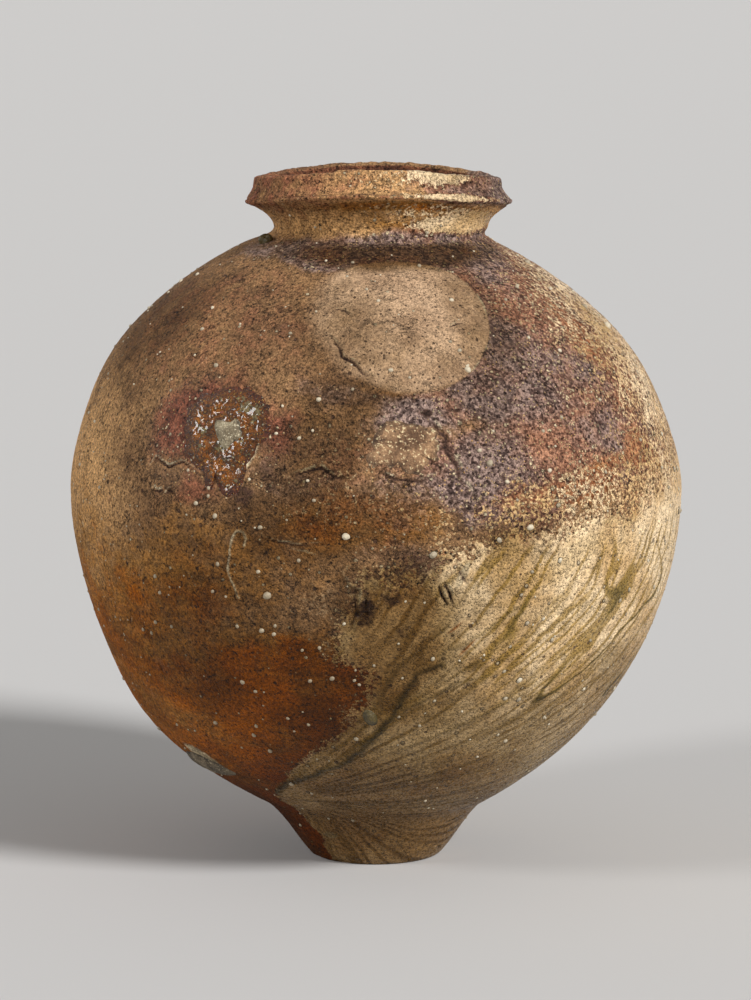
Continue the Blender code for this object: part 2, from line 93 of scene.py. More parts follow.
def lattice_noise(points: Array, size: float, seed: int, octaves: int = 1) -> Array:
    """Smooth noise from -1 to 1.

    Each corner of a cubic lattice has a random value, picked by a hash of its place. A point takes
    the blend of its cell's eight corners, by eased shares. Each octave halves size and weight.

    Args:
        points: places, with x, y and z on the last axis.
        size: width of a lattice cell of the first octave, in metres.
        seed: which noise it is.
        octaves: how many octaves are summed.

    Returns:
        One value for each point.
    """
    total, reach = np.zeros(points.shape[:-1]), 0.0
    for octave in range(octaves):
        share = 0.5**octave
        place = points / (size * share) + 7.31 * (seed + octave) + 100.0
        cell = np.floor(place).astype(np.int64)
        near = eased(place - cell)
        blend = np.zeros(points.shape[:-1])
        for corner in np.ndindex(2, 2, 2):
            x, y, z = np.moveaxis(cell + corner, -1, 0)
            key = ((x * 73856093) ^ (y * 19349663) ^ (z * 83492791) ^ (seed * 2971)) * 2654435761
            weight = np.prod(np.where(corner, near, 1.0 - near), axis=-1)
            blend += weight * RANDOM_LATTICE[(key >> 16) & 4095]
        total += share * blend
        reach += share
    return total / reach


def lengths_along(path: Array) -> Array:
    """How far each point of a path lies from its start, along it."""
    return np.concatenate([[0.0], np.cumsum(np.hypot(*np.diff(path, axis=0).T))])


def sampled(path: Array, count: int) -> Array:
    """Points at even steps along a path."""
    steps = lengths_along(path)
    along = np.linspace(0.0, steps[-1], count)
    return np.column_stack([np.interp(along, steps, path[:, axis]) for axis in (0, 1)])


def smooth_loop(points: Sequence[Spot], count: int) -> Array:
    """A closed smooth curve through a few points, by cubic pieces whose slopes are those of the
    chords between each point's two neighbours.

    Args:
        points: (across, up) places on the outline, counterclockwise.
        count: how many places to return.

    Returns:
        An array of count rows of (across, up).
    """
    knots = np.array(points, dtype=float)
    share = np.linspace(0.0, len(knots), count, endpoint=False)
    start = share.astype(int)
    t = (share - start)[:, None]
    p0, p1, p2, p3 = (knots[(start + step) % len(knots)] for step in (-1, 0, 1, 2))
    bend = (2 * p0 - 5 * p1 + 4 * p2 - p3) * t**2 + (3 * p1 - p0 - 3 * p2 + p3) * t**3
    return 0.5 * (2 * p1 + (p2 - p0) * t + bend)


@dataclass
class JarForm:
    """The jar's outer skin line, and how the potter's hands left the turned form.

    The sizes are those of the CAD model. The line is five cubic curves end to end. Each is given
    by its ends, its slopes there as run over rise, and how far each slope is carried.
    """

    foot_radius: float = 0.0432
    foot_height: float = 0.0385
    foot_flare: float = 0.0313
    belly_radius: float = 0.2018
    belly_rise: float = 0.2086
    shoulder_rise: float = 0.1625
    neck_radius: float = 0.07
    neck_corner_overhang: float = 0.008
    neck_corner_rise: float = 0.006
    neck_flare_rise: float = 0.0196
    neck_flare: float = 0.0121
    flange_thickness: float = 0.0023
    lip_rise: float = 0.0148
    foot_side_slope: float = 1.01
    bowl_slope: float = 1.75
    crown_slope: float = 2.14
    flare_slope: Spot = (1.0, 0.8)
    foot_carry: float = 0.012
    bowl_carry: float = 0.13
    belly_carry_down: float = 0.0436
    belly_carry_up: float = 0.0254
    crown_carry: float = 0.1162
    corner_carry: float = 0.003
    neck_carry: float = 0.0098
    flare_carry: float = 0.0078
    floor_thickness: float = 0.014
    wall: float = 0.0105
    lap: float = 0.007
    seat_drop: float = 0.003
    out_of_round: float = 0.0065
    out_of_round_bearing: float = 35.0
    three_lobes: float = 0.0033
    shoulder_shift: float = -0.0038
    neck_shift: float = 0.0035
    rim_shift: float = 0.0012
    bulge: float = 0.065
    bulge_bearing: float = -88.0
    bulge_bearing_spread: float = 40.0
    bulge_height: float = 0.076
    bulge_height_spread: float = 0.049
    shoulder_swell: float = 0.0187
    shoulder_swell_height: float = 0.3446
    shoulder_swell_spread: float = 0.034
    rim_saddle: float = 0.0033
    rim_tilt: float = 0.0015
    flange_raggedness: float = 0.0007
    flange_waves: tuple[Triple, ...] = ((9, 1.0, 0.8), (13, 0.7, 0.0), (5, 0.5, 2.0))
    neck_trueness: float = 0.6
    samples: int = 500
    points: Array = field(init=False)
    outward: Array = field(init=False)
    runs: Array = field(init=False)
    corner_run: float = field(init=False)

    def __post_init__(self) -> None:
        """Lays the five curves end to end and measures runs and outward directions along them."""
        self.waist_height = self.foot_height + self.belly_rise + self.shoulder_rise + self.neck_corner_rise
        foot_top = (self.foot_radius + self.foot_flare, self.foot_height)
        belly = (self.belly_radius, self.foot_height + self.belly_rise)
        corner = (self.neck_radius + self.neck_corner_overhang, belly[1] + self.shoulder_rise)
        waist = (self.neck_radius, self.waist_height)
        self.flare_end = (self.neck_radius + self.neck_flare, self.waist_height + self.neck_flare_rise)
        upright, bowl, crown = (0.0, 1.0), (self.bowl_slope, 1.0), (-self.crown_slope, 1.0)
        foot_side = (self.foot_side_slope, 1.0)
        stretches = [
            self._curve((self.foot_radius, 0.0), foot_side, self.foot_carry, foot_top, bowl, self.foot_carry),
            self._curve(foot_top, bowl, self.bowl_carry, belly, upright, self.belly_carry_down),
            self._curve(belly, upright, self.belly_carry_up, corner, crown, self.crown_carry),
            self._curve(corner, crown, self.corner_carry, waist, upright, self.corner_carry),
            self._curve(waist, upright, self.neck_carry, self.flare_end, self.flare_slope, self.flare_carry),
        ]
        self.points = np.vstack([stretches[0]] + [s[1:] for s in stretches[1:]])
        self.runs = lengths_along(self.points)
        tangents = np.gradient(self.points, self.runs, axis=0)
        tangents /= np.linalg.norm(tangents, axis=1)[:, None]
        self.outward = np.column_stack([tangents[:, 1], -tangents[:, 0]])
        self.corner_run = float(self.runs[sum(len(s) - 1 for s in stretches[:3])])

    def _curve(
        self, start: Spot, start_slope: Spot, start_carry: float, end: Spot, end_slope: Spot, end_carry: float
    ) -> Array:
        """Points of a cubic curve whose two inner handles lie along its end slopes."""
        first, last = np.array(start), np.array(end)
        pull = first + np.array(start_slope) / math.hypot(*start_slope) * start_carry
        push = last - np.array(end_slope) / math.hypot(*end_slope) * end_carry
        t = np.linspace(0.0, 1.0, self.samples)[:, None]
        return (1 - t) ** 3 * first + 3 * (1 - t) ** 2 * t * pull + 3 * (1 - t) * t**2 * push + t**3 * last

    def at(self, run: Array, depth: Array | float = 0.0) -> tuple[Array, Array]:
        """(radius, height) at a run, at a depth below the skin."""
        radius, height, out_radius, out_height = (
            np.interp(run, self.runs, line[:, i]) for line in (self.points, self.outward) for i in (0, 1)
        )
        size = np.hypot(out_radius, out_height)
        return radius - depth * out_radius / size, height - depth * out_height / size

    def run_at_height(self, height: float, depth: float = 0.0) -> float:
        """The run at which the surface at this depth passes a height."""
        return float(np.interp(height, self.at(self.runs, depth)[1], self.runs))

    @property
    def length(self) -> float:
        """The run at which the neck's skin ends under the flange."""
        return float(self.runs[-1])

    def shaped(self, points: Array) -> Array:
        """Moves points of the true turned form to where the potter's hands left them.

        The radius grows by the sum of an oval, three lobes, a bulge low on the left and a swell
        round the shoulder. Shoulder, neck and rim shift along X, and the rim rises at front and
        back by two waves round it. The flange's radius carries three more waves.
        """
        x, y, z = np.moveaxis(points, -1, 0)
        bearing = np.arctan2(x, -y)
        above_foot = eased(z / self.foot_height)
        oval = self.out_of_round * np.cos(2.0 * (bearing - math.radians(self.out_of_round_bearing)))
        lobes = self.three_lobes * np.cos(3.0 * bearing)
        belly_height = self.foot_height + self.belly_rise
        corner_height = belly_height + self.shoulder_rise
        up_the_shoulder = eased((z - belly_height) / self.shoulder_rise)
        at_the_neck = eased((z - corner_height + 0.5 * self.lap) / (self.neck_corner_rise + self.lap))
        up_the_neck = eased((z - self.waist_height) / self.neck_flare_rise)
        flange_height = self.flare_end[1] + 0.5 * self.flange_thickness
        near_the_flange = bell(z - flange_height, 2.0 * self.flange_thickness)
        ragged = sum(size * np.sin(count * bearing + start) for count, size, start in self.flange_waves)
        outside = eased((np.hypot(x, y) - self.neck_radius) / self.neck_flare)
        off_bulge = turned_from(np.degrees(bearing), self.bulge_bearing)
        bulge = self.bulge * bell(off_bulge, self.bulge_bearing_spread)
        bulge = bulge * bell(z - self.bulge_height, self.bulge_height_spread)
        swell = self.shoulder_swell * bell(z - self.shoulder_swell_height, self.shoulder_swell_spread)
        by_hand = oval + lobes + bulge + swell
        growth = 1.0 + above_foot * (1.0 - self.neck_trueness * at_the_neck) * by_hand
        growth = growth + self.flange_raggedness / self.neck_radius * ragged * near_the_flange * outside
        at_the_rim = eased((z - flange_height) / self.lip_rise + 0.5)
        shift = self.shoulder_shift * up_the_shoulder
        shift = shift + (self.neck_shift - self.shoulder_shift) * at_the_neck
        shift = shift + (self.rim_shift - self.neck_shift) * at_the_rim
        rise = up_the_neck * (self.rim_saddle * np.cos(2.0 * bearing) + self.rim_tilt * np.cos(bearing))
        return np.stack([x * growth + shift, y * growth, z + rise], axis=-1)

    def turned(self, bearing: Array, radius: Array, height: Array) -> Array:
        """Shaped places at a bearing, a radius and a height of the true form."""
        turn, radius, height = np.broadcast_arrays(np.radians(bearing), radius, height)
        return self.shaped(np.stack([radius * np.sin(turn), -radius * np.cos(turn), height], axis=-1))

    def place(self, bearing: Array, run: Array, depth: Array | float = 0.0) -> Array:
        """Shaped places at a bearing and a run, at a depth below the skin."""
        radius, height = self.at(run, depth)
        return self.turned(bearing, radius, height)

    def axes(self, bearing: Array, run: Array) -> tuple[Array, Array, Array]:
        """(rightwards, upwards, outwards) unit directions on the skin, from small steps along it."""
        step = 0.0005
        radius = self.at(run)[0]
        here = self.place(bearing, run)
        right = self.place(bearing + np.degrees(step / radius), run) - here
        above = self.place(bearing, run + step) - here
        out = np.cross(right, above)
        out /= np.linalg.norm(out, axis=-1, keepdims=True)
        right /= np.linalg.norm(right, axis=-1, keepdims=True)
        return right, np.cross(out, right), out


class Mark(Enum):
    """What the kiln or the potter left on the skin, and shade painted on it."""

    FIRE = "fire_orange"
    BLUSH = "red_blush"
    CRUST = "ash_crust"
    GLAZE = "ash_glaze"
    BALD = "bald_disc"
    RIVULET = "green_rivulet"
    STREAK = "olive_streak"
    WASH = "thin_ash_wash"
    PALE = "pale_scab"
    SOOT = "dark_crack"
    GLOSS = "melted_gloss"
    # Smoke stains, and painted shade low on the body and on the foot.
    SMOKE = "smoked_brown"
    INSIDE = "inner_clay"


@dataclass
class Chart:
    """Places on the skin: bearings, runs, radii and points, as arrays of one shape."""

    form: JarForm
    bearing: Array
    run: Array
    point: Array

    @classmethod
    def on_skin(cls, form: JarForm, bearing: Array, run: Array) -> "Chart":
        """A chart of the skin at these bearings and runs."""
        bearing, run = np.broadcast_arrays(bearing, run)
        return cls(form, bearing, run, form.place(bearing, run))

    @property
    def radius(self) -> Array:
        """The turned radius at each place."""
        return self.form.at(self.run)[0]

    def noise(self, size: float, seed: int, octaves: int = 1) -> Array:
        """Lattice noise at each place."""
        return lattice_noise(self.point, size, seed, octaves)

    def off(self, bearing: float, run: float) -> tuple[Array, Array]:
        """How far each place lies right of and above another one, along the skin."""
        return self.radius * np.radians(turned_from(self.bearing, bearing)), self.run - run


@dataclass(frozen=True)
class Zone:
    """A soft-edged oval patch of a mark on the skin.

    Its cover is the eased share (1 + soft / 2 - q) / soft, where q is the distance from its centre
    as a share of its half sizes, shifted by noise of the wobble's size and strength.
    """

    bearing: float
    run: float
    half_width: float
    half_length: float
    strength: float = 1.0
    soft: float = 0.5
    turn: float = 0.0
    wobble: float = 0.25
    wobble_size: float = 0.022

    def cover(self, chart: Chart, seed: int) -> Array:
        """How much of the patch each place has."""
        across, up = chart.off(self.bearing, self.run)
        lean = math.radians(self.turn)
        along = across * math.cos(lean) + up * math.sin(lean)
        beside = up * math.cos(lean) - across * math.sin(lean)
        share = np.hypot(along / self.half_width, beside / self.half_length)
        found = np.zeros(share.shape)
        near = share < 1.0 + 0.5 * self.soft + self.wobble
        if near.any():
            broken = share[near] + self.wobble * lattice_noise(chart.point[near], self.wobble_size, seed, 3)
            found[near] = self.strength * eased((1.0 + 0.5 * self.soft - broken) / self.soft)
        return found


@dataclass(frozen=True)
class Stroke:
    """A line of a mark along a route of (bearing, run) places, thin at its ends.

    Its cover is a bell of the distance from the route over the half width.
    """

    route: Route
    half_width: float
    strength: float = 1.0
    depth: float = 0.0
    lip: float = 0.0
    wander: float = 0.0006
    blunt: bool = False

    def near(self, chart: Chart, seed: int, margin: float) -> tuple[Array, ...]:
        """(which places are near, their distance, their share along, their side of the route)."""
        knots = np.array(self.route)
        middle = float(np.mean(knots[:, 0]))
        reach = margin + 4.0 * self.half_width
        turn_reach = np.degrees(reach / 0.07) if knots[:, 1].max() > 0.5 else np.degrees(reach / 0.1)
        off = turned_from(chart.bearing, middle)
        span = np.abs(turned_from(knots[:, 0], middle)).max() + turn_reach
        inside = (np.abs(off) < span) & (chart.run > knots[:, 1].min() - reach)
        inside &= chart.run < knots[:, 1].max() + reach
        radius = chart.radius[inside]
        spots = np.stack([radius * np.radians(off[inside]), chart.run[inside]], axis=-1)
        points = chart.point[inside]
        spots[:, 0] += self.wander * lattice_noise(points, 0.006, seed, 2)
        spots[:, 1] += self.wander * lattice_noise(points, 0.006, seed + 1, 2)
        knot_radius = chart.form.at(knots[:, 1])[0]
        path = np.stack([knot_radius * np.radians(turned_from(knots[:, 0], middle)), knots[:, 1]], axis=-1)
        steps = lengths_along(path)
        best = np.full(len(spots), np.inf)
        along, side = np.zeros(len(spots)), np.zeros(len(spots))
        for start, end, low, high in zip(path, path[1:], steps, steps[1:]):
            way = end - start
            share = np.clip((spots - start) @ way / (way @ way), 0.0, 1.0)
            gap = spots - start - share[:, None] * way
            distance = np.hypot(*gap.T)
            closer = distance < best
            best = np.where(closer, distance, best)
            along = np.where(closer, low + share * (high - low), along)
            side = np.where(closer, np.sign(way[0] * gap[:, 1] - way[1] * gap[:, 0]), side)
        return inside, best, along / steps[-1], side

    def lay(self, chart: Chart, seed: int, marks: dict[Mark, Array], mark: Mark) -> Array:
        """Adds the stroke to a mark and returns the height it gives the skin."""
        height = np.zeros(chart.run.shape)
        inside, distance, along, side = self.near(chart, seed, 0.004)
        if not inside.any():
            return height
        taper = 1.0 if self.blunt else np.sqrt(np.clip(np.sin(np.pi * np.clip(along, 0.04, 0.96)), 0.0, 1.0))
        line = bell(distance, self.half_width * taper)
        beside = bell(distance - 1.9 * self.half_width, 0.9 * self.half_width) * taper
        marks[mark][inside] = np.maximum(marks[mark][inside], self.strength * line * taper)
        if self.lip:
            crumbled = eased(lattice_noise(chart.point[inside], 0.004, seed + 2, 2) * 1.4 + 0.6)
            pale = 0.85 * beside * (side > 0) * crumbled
            marks[Mark.PALE][inside] = np.maximum(marks[Mark.PALE][inside], pale)
        height[inside] = -self.depth * line * taper + self.lip * beside * (side > 0)
        return height


@dataclass(frozen=True)
class Front:
    """The melted ash's area: below a line given at some bearings and right of one given at some
    runs. Its cover is the eased share of how far inside both lines a place lies, with noise."""

    top: Route = (
        (-8, 0.25), (-1, 0.277), (8.5, 0.282), (12, 0.2925), (20, 0.301), (34, 0.306),
        (56, 0.3105), (75, 0.33), (105, 0.365), (140, 0.35), (165, 0.3), (180, 0.23),
    )
    left: Route = (
        (-40, 0), (-39, 0.078), (-30, 0.104), (-17, 0.14), (-7.5, 0.164), (-3, 0.19),
        (-1.5, 0.212), (-7, 0.223), (-7, 0.238), (-2, 0.27), (-1, 0.38),
    )
    top_soft: float = 0.05
    left_soft: float = 0.026

    def cover(self, chart: Chart, seed: int) -> Array:
        """How far inside the area each place lies."""
        top, left = np.array(self.top), np.array(self.left)
        bearing = np.where(chart.bearing < -120.0, chart.bearing + 360.0, chart.bearing)
        below = np.interp(bearing, top[:, 0], top[:, 1]) - chart.run
        edge = np.interp(chart.run, left[:, 1], left[:, 0])
        right = chart.radius * np.radians(bearing - edge)
        far = chart.radius * np.radians(172.0 - bearing) + 0.05 * chart.noise(0.07, seed + 5, 3)
        broken = 0.008 * chart.noise(0.03, seed, 2) + 0.006 * chart.noise(0.009, seed + 1, 2)
        left_soft = self.left_soft * eased((chart.run - 0.1) / 0.08) + 0.006
        inside = np.minimum((below + broken) / self.top_soft, (right + broken) / left_soft)
        return eased(np.minimum(inside, far / self.top_soft) + 0.5)


@dataclass
class KilnMap:
    """Where the fire, the ash and the potter's hands left their marks, where shade is painted, and how high
    they stand.
    """

    form: JarForm
    front: Front = Front()
    disc_bearing: float = 8.5
    disc_run: float = 0.449
    disc_radius: float = 0.0552
    fall: Triple = (0.0, -0.3, -0.954)
    fall_centre: Triple = (-0.06, 0.0, 0.33)
    twist: float = 3.0
    run_length: float = 0.055
    joins: tuple[float, ...] = (0.2997, HIGH_JOIN, 0.4397, LOW_JOIN, 0.141)
    fire: tuple[Zone, ...] = (
        Zone(-62, 0.155, 0.17, 0.12, 0.84, 0.9, wobble=0.3, wobble_size=0.045),
        Zone(-30, 0.282, 0.07, 0.032, 0.5, 1.1, wobble=0.4, wobble_size=0.035),
        Zone(-80, 0.29, 0.09, 0.04, 0.34, 1.2, wobble=0.4, wobble_size=0.035),
        Zone(16, 0.546, 0.06, 0.01, 0.5, 1), Zone(-14, 0.166, 0.07, 0.072, 1, 0.5),
        Zone(-150, 0.15, 0.2, 0.13, 0.75, 0.7), Zone(-2, 0.312, 0.052, 0.02, 0.62, 0.9),
        Zone(61, 0.372, 0.022, 0.055, 0.55, 1.5, turn=-12, wobble=0.6),
        Zone(72, 0.33, 0.03, 0.016, 0.6, 0.9),
        Zone(36, 0.323, 0.055, 0.0075, 0.7, 1.2, turn=3, wobble=0.5),
        Zone(50, 0.336, 0.045, 0.0085, 0.65, 1.2, turn=8), Zone(58, 0.43, 0.018, 0.03, 0.6, 1.2, turn=-20),
        Zone(9, 0.393, 0.026, 0.005, 0.55, 0.9), Zone(-35, 0.026, 0.07, 0.04, 1, 0.8),
        Zone(22, 0.536, 0.055, 0.004, 0.45, 1.2), Zone(4, 0.551, 0.07, 0.004, 0.55, 1),
    )
    blush: tuple[Zone, ...] = (
        Zone(-48, 0.44, 0.095, 0.05, 0.32, 1.4), Zone(-36, 0.371, 0.036, 0.026, 0.9, 1.1, turn=28),
        Zone(-18.2, 0.366, 0.014, 0.018, 0.75, 1.3), Zone(-34, 0.326, 0.018, 0.01, 0.65, 1.3),
        Zone(36, 0.3215, 0.052, 0.0055, 0.5, 0.9, turn=3), Zone(50, 0.334, 0.045, 0.007, 0.7, 1.2, turn=8),
        Zone(45, 0.362, 0.035, 0.01, 0.45, 1.4), Zone(-50, 0.575, 0.07, 0.03, 0.5, 0.9),
        Zone(-90, 0.58, 0.08, 0.03, 0.5, 0.9), Zone(-10, 0.585, 0.05, 0.004, 0.45, 0.8),
    )
    crust: tuple[Zone, ...] = (
        Zone(52, 0.428, 0.11, 0.105, 1, 0.35), Zone(27, 0.336, 0.06, 0.034, 1, 0.5, turn=-4),
        Zone(12, 0.512, 0.075, 0.024, 1, 0.5), Zone(14, 0.383, 0.045, 0.013, 0.9, 0.9, turn=10),
        Zone(-3, 0.338, 0.05, 0.03, 0.46, 1.2, wobble=0.5),
        Zone(-6, 0.392, 0.03, 0.008, 0.5, 1.2, turn=-8), Zone(4, 0.291, 0.028, 0.01, 0.3, 1),
        Zone(-42, 0.516, 0.05, 0.014, 0.65, 1), Zone(95, 0.44, 0.09, 0.075, 0.8, 0.8),
        Zone(55, 0.525, 0.04, 0.01, 1, 0.5), Zone(45, 0.575, 0.045, 0.022, 0.95, 0.5),
        Zone(90, 0.575, 0.06, 0.022, 0.8, 0.8),
    )
    glaze: tuple[Zone, ...] = (
        Zone(70, 0.395, 0.055, 0.09, 0.44, 1.4, wobble=0.4),
        Zone(86, 0.4, 0.055, 0.11, 0.52, 1.2, wobble=0.3),
        Zone(-4, 0.336, 0.06, 0.03, 0.2, 1.2, wobble=0.5),
        Zone(52, 0.42, 0.06, 0.09, 0.14, 1.4, wobble=0.4),
        Zone(42, 0.318, 0.11, 0.02, 0.5, 1.2, turn=4, wobble=0.4),
        Zone(42, 0.5385, 0.03, 0.0045, 0.9, 0.8), Zone(56, 0.5415, 0.03, 0.009, 0.8, 0.9),
        Zone(30, 0.577, 0.02, 0.005, 0.95, 0.9), Zone(36, 0.562, 0.04, 0.0025, 0.8, 1),
        Zone(26, 0.547, 0.05, 0.008, 0.42, 1.2, wobble=0.6), Zone(12, 0.02, 0.034, 0.04, 0.55, 0.9),
        Zone(20, 0.577, 0.05, 0.01, 0.42, 1.2, wobble=0.5),
    )
    wash: tuple[Zone, ...] = (
        Zone(0, 0.54, 0.12, 0.02, 0.98, 1), Zone(45, 0.545, 0.05, 0.014, 0.9, 1),
        Zone(180, 0.545, 0.12, 0.014, 0.5, 1), Zone(10, 0.576, 0.055, 0.016, 0.55, 1),
        Zone(-50, 0.576, 0.07, 0.018, 0.75, 1), Zone(-80, 0.3, 0.09, 0.09, 0.75, 1.2),
    )
    # Smoke stains on glaze and clay, and painted shade: the wide zones low on the body, at its low right and
    # back and on the foot darken it towards the bottom.
    smoke_and_shade: tuple[Zone, ...] = (
        Zone(-1, 0.44, 0.03, 0.036, 0.5, 1.4), Zone(5, 0.415, 0.04, 0.018, 0.34, 1.4),
        Zone(4, 0.236, 0.042, 0.046, 0.95, 0.9, wobble=0.5), Zone(12, 0.16, 0.085, 0.052, 0.78, 1.2),
        Zone(16, 0.25, 0.06, 0.045, 0.4, 1.3), Zone(0, 0.08, 0.19, 0.06, 0.92, 1),
        Zone(0, 0.01, 0.3, 0.05, 0.9, 1), Zone(-34, 0.165, 0.11, 0.07, 0.2, 1.5),
        Zone(-24, 0.235, 0.09, 0.07, 0.62, 1.4), Zone(-9, 0.312, 0.06, 0.026, 0.65, 1.1, wobble=0.5),
        Zone(-8, 0.358, 0.034, 0.034, 0.75, 1, wobble=0.5), Zone(-3, 0.393, 0.034, 0.01, 0.6, 1.2),
        Zone(-11, 0.452, 0.026, 0.04, 0.4, 1.4), Zone(12, 0.511, 0.085, 0.017, 0.95, 0.8),
        Zone(30, 0.455, 0.026, 0.045, 0.6, 1.2), Zone(22, 0.4, 0.03, 0.05, 0.4, 1.2),
        Zone(-70, 0.44, 0.05, 0.05, 0.25, 1.4), Zone(27, 0.3, 0.03, 0.016, 0.45, 1.2),
        Zone(150, 0.12, 0.15, 0.08, 0.45, 1.2), Zone(-140, 0.4, 0.1, 0.06, 0.4, 1.4),
        Zone(-67, 0.437, 0.05, 0.045, 0.48, 1.4), Zone(60, 0.168, 0.06, 0.052, 0.62, 1.4),
        Zone(38, 0.019, 0.04, 0.022, 0.62, 1.2), Zone(-52, 0.54, 0.042, 0.018, 0.58, 1.2),
        Zone(52, 0.576, 0.04, 0.016, 0.4, 1.2),
    )
    pale: tuple[Zone, ...] = (
        Zone(-29.7, 0.0278, 0.006, 0.0035, 0.9, 0.8), Zone(-9.7, 0.26, 0.014, 0.012, 0.24, 1.4),
        Zone(-24, 0.348, 0.0035, 0.012, 0.75, 0.9, turn=-30),
        Zone(15.3, 0.277, 0.003, 0.0095, 0.55, 0.7, turn=-24),
        Zone(-58, 0.12, 0.014, 0.008, 0.8, 0.6, turn=-30), Zone(30, 0.07, 0.03, 0.012, 0.3, 1.2),
    )
    soot: tuple[Zone, ...] = (
        Zone(-24, 0.3235, 0.011, 0.0085, 0.55, 1.2, wobble=0.8, wobble_size=0.008),
        Zone(-20, 0.342, 0.008, 0.013, 0.45, 1.4, wobble=0.9, wobble_size=0.007),
        Zone(10.4, 0.3792, 0.0055, 0.0022, 0.85, 1.4, turn=-10, wobble=0.9, wobble_size=0.004),
        Zone(-21.8, 0.44, 0.011, 0.007, 0.32, 1.4, turn=20, wobble=0.8, wobble_size=0.007),
        Zone(-4.4, 0.264, 0.011, 0.018, 0.34, 1.6, turn=-6, wobble=1.6, wobble_size=0.005),
        Zone(-1.6, 0.256, 0.006, 0.01, 0.55, 1.4, wobble=1, wobble_size=0.006),
        Zone(2.9, 0.2637, 0.0055, 0.0045, 0.6, 1.4, wobble=1, wobble_size=0.005),
        Zone(4.4, 0.2415, 0.005, 0.006, 0.5, 1.4, wobble=1, wobble_size=0.005),
        Zone(8.6, 0.288, 0.012, 0.009, 0.5, 1.4, wobble=1, wobble_size=0.008),
    )
    gloss: tuple[Zone, ...] = (
        Zone(-36, 0.362, 0.04, 0.04, 1, 0.6, turn=24), Zone(-18, 0.362, 0.016, 0.02, 0.9, 0.8),
        Zone(-20, 0.19, 0.12, 0.11, 0.45, 1),
    )
    cracks: tuple[Stroke, ...] = (
        Stroke(((-10.5, 0.4586), (-7.1, 0.4562), (-4.1, 0.4503)), 0.0006, 0.9, 0.001, 0.0004),
        Stroke(((-10.6, 0.4361), (-7.1, 0.4264), (-6.6, 0.4201), (-4.1, 0.4153), (-1.6, 0.4066),
                (1.4, 0.4024)),
               0.001, 0.9, 0.0014, 0.0008),
        Stroke(((18.5, 0.4403), (22.1, 0.4441), (24.5, 0.4437)), 0.0006, 0.85, 0.0008, 0.0003),
        Stroke(((25, 0.3185), (32.1, 0.3192), (46.9, 0.3244)), 0.0005, 0.6, 0.0005, 0.0004),
        Stroke(((-46, 0.3365), (-44.8, 0.3435), (-42.9, 0.341), (-41, 0.3389), (-37.9, 0.3428),
                (-35.4, 0.3393)),
               0.0008, 0.95, 0.0012, 0.0005),
        Stroke(((-44.5, 0.3232), (-42.9, 0.3223), (-41.5, 0.325)), 0.001, 0.9, 0.0012, 0.0004),
        Stroke(((-41.2, 0.3205), (-40, 0.3244), (-38.8, 0.3223)), 0.0009, 0.9, 0.0012, 0.0004),
        Stroke(((-15.2, 0.3376), (-13.9, 0.3403), (-11.6, 0.3428), (-9.7, 0.3445), (-7.5, 0.3393),
                (-4.2, 0.3375)),
               0.0009, 0.95, 0.0013, 0.0006),
        Stroke(((10, 0.3532), (10.3, 0.3476), (11.7, 0.3448), (12.2, 0.3379)), 0.001, 0.85, 0.0013),
        Stroke(((8.6, 0.38), (11, 0.372), (12.8, 0.363), (13.6, 0.3553), (14.6, 0.3438), (15.6, 0.3341),
                (16.6, 0.324)),
               0.002, 0.8, 0.0012, 0.001, wander=0.0034),
        Stroke(((-0.4, 0.3435), (3.5, 0.338), (7.9, 0.3366), (11.5, 0.34)),
               0.0009, 0.85, 0.0012, 0.0006, wander=0.0018),
        Stroke(((-20.7, 0.3008), (-17.3, 0.2977), (-13.5, 0.2963), (-8.9, 0.298)),
               0.0007, 0.7, 0.0008, 0.0004),
        Stroke(((-38.9, 0.2598), (-36.3, 0.2557), (-33.2, 0.2567)), 0.0005, 0.6, 0.0004),
        Stroke(((-21.6, 0.2009), (-19.6, 0.2106), (-17.7, 0.2147)), 0.0005, 0.35, 0.0003),
        Stroke(((-74.2, 0.2942), (-71.7, 0.2876), (-70.3, 0.2817)), 0.0016, 1, 0.0028, 0.0007),
        Stroke(((-61.5, 0.2501), (-61.1, 0.2442)), 0.0009, 0.8, 0.0012),
        Stroke(((-56, 0.2349), (-57.2, 0.2283)), 0.0011, 0.9, 0.0015, 0.0004),
        Stroke(((-50.7, 0.2047), (-50.4, 0.195)), 0.0008, 0.8, 0.0012),
        Stroke(((11, 0.2732), (11.9, 0.264), (13.3, 0.256)), 0.0011, 0.95, 0.0022),
        Stroke(((12, 0.2736), (13.2, 0.265), (13.9, 0.2568)), 0.001, 0.9, 0.0018, 0.0005),
        Stroke(((13.9, 0.2845), (15.2, 0.2772), (16.7, 0.2699)), 0.0014, 0.6, 0.0012, 0.0004),
        Stroke(((-5.2, 0.279), (-4.3, 0.264), (-3.4, 0.252), (-4.8, 0.238)),
               0.0012, 0.7, 0.0014, 0.0007, wander=0.006),
        Stroke(((-2.4, 0.27), (-2.6, 0.259), (-1.6, 0.25)), 0.0008, 0.6, 0.0012, 0.0005, wander=0.0056),
        Stroke(((9.6, 0.29), (7, 0.285), (4, 0.28), (0.5, 0.279)), 0.0018, 0.62, 0.001, wander=0.005),
        Stroke(((62, 0.495), (66, 0.488), (69, 0.484)), 0.0007, 0.7, 0.0008, 0.0003),
        Stroke(((112, 0.29), (115, 0.282), (121, 0.28)), 0.0012, 0.8, 0.0014, 0.0006),
        Stroke(((-128, 0.345), (-122, 0.3422), (-115, 0.344), (-108, 0.3415)),
               0.0009, 0.9, 0.0012, 0.0006),
        Stroke(((158, 0.301), (166, 0.2992), (177, 0.3)), 0.0008, 0.7, 0.001, 0.0004),
    )
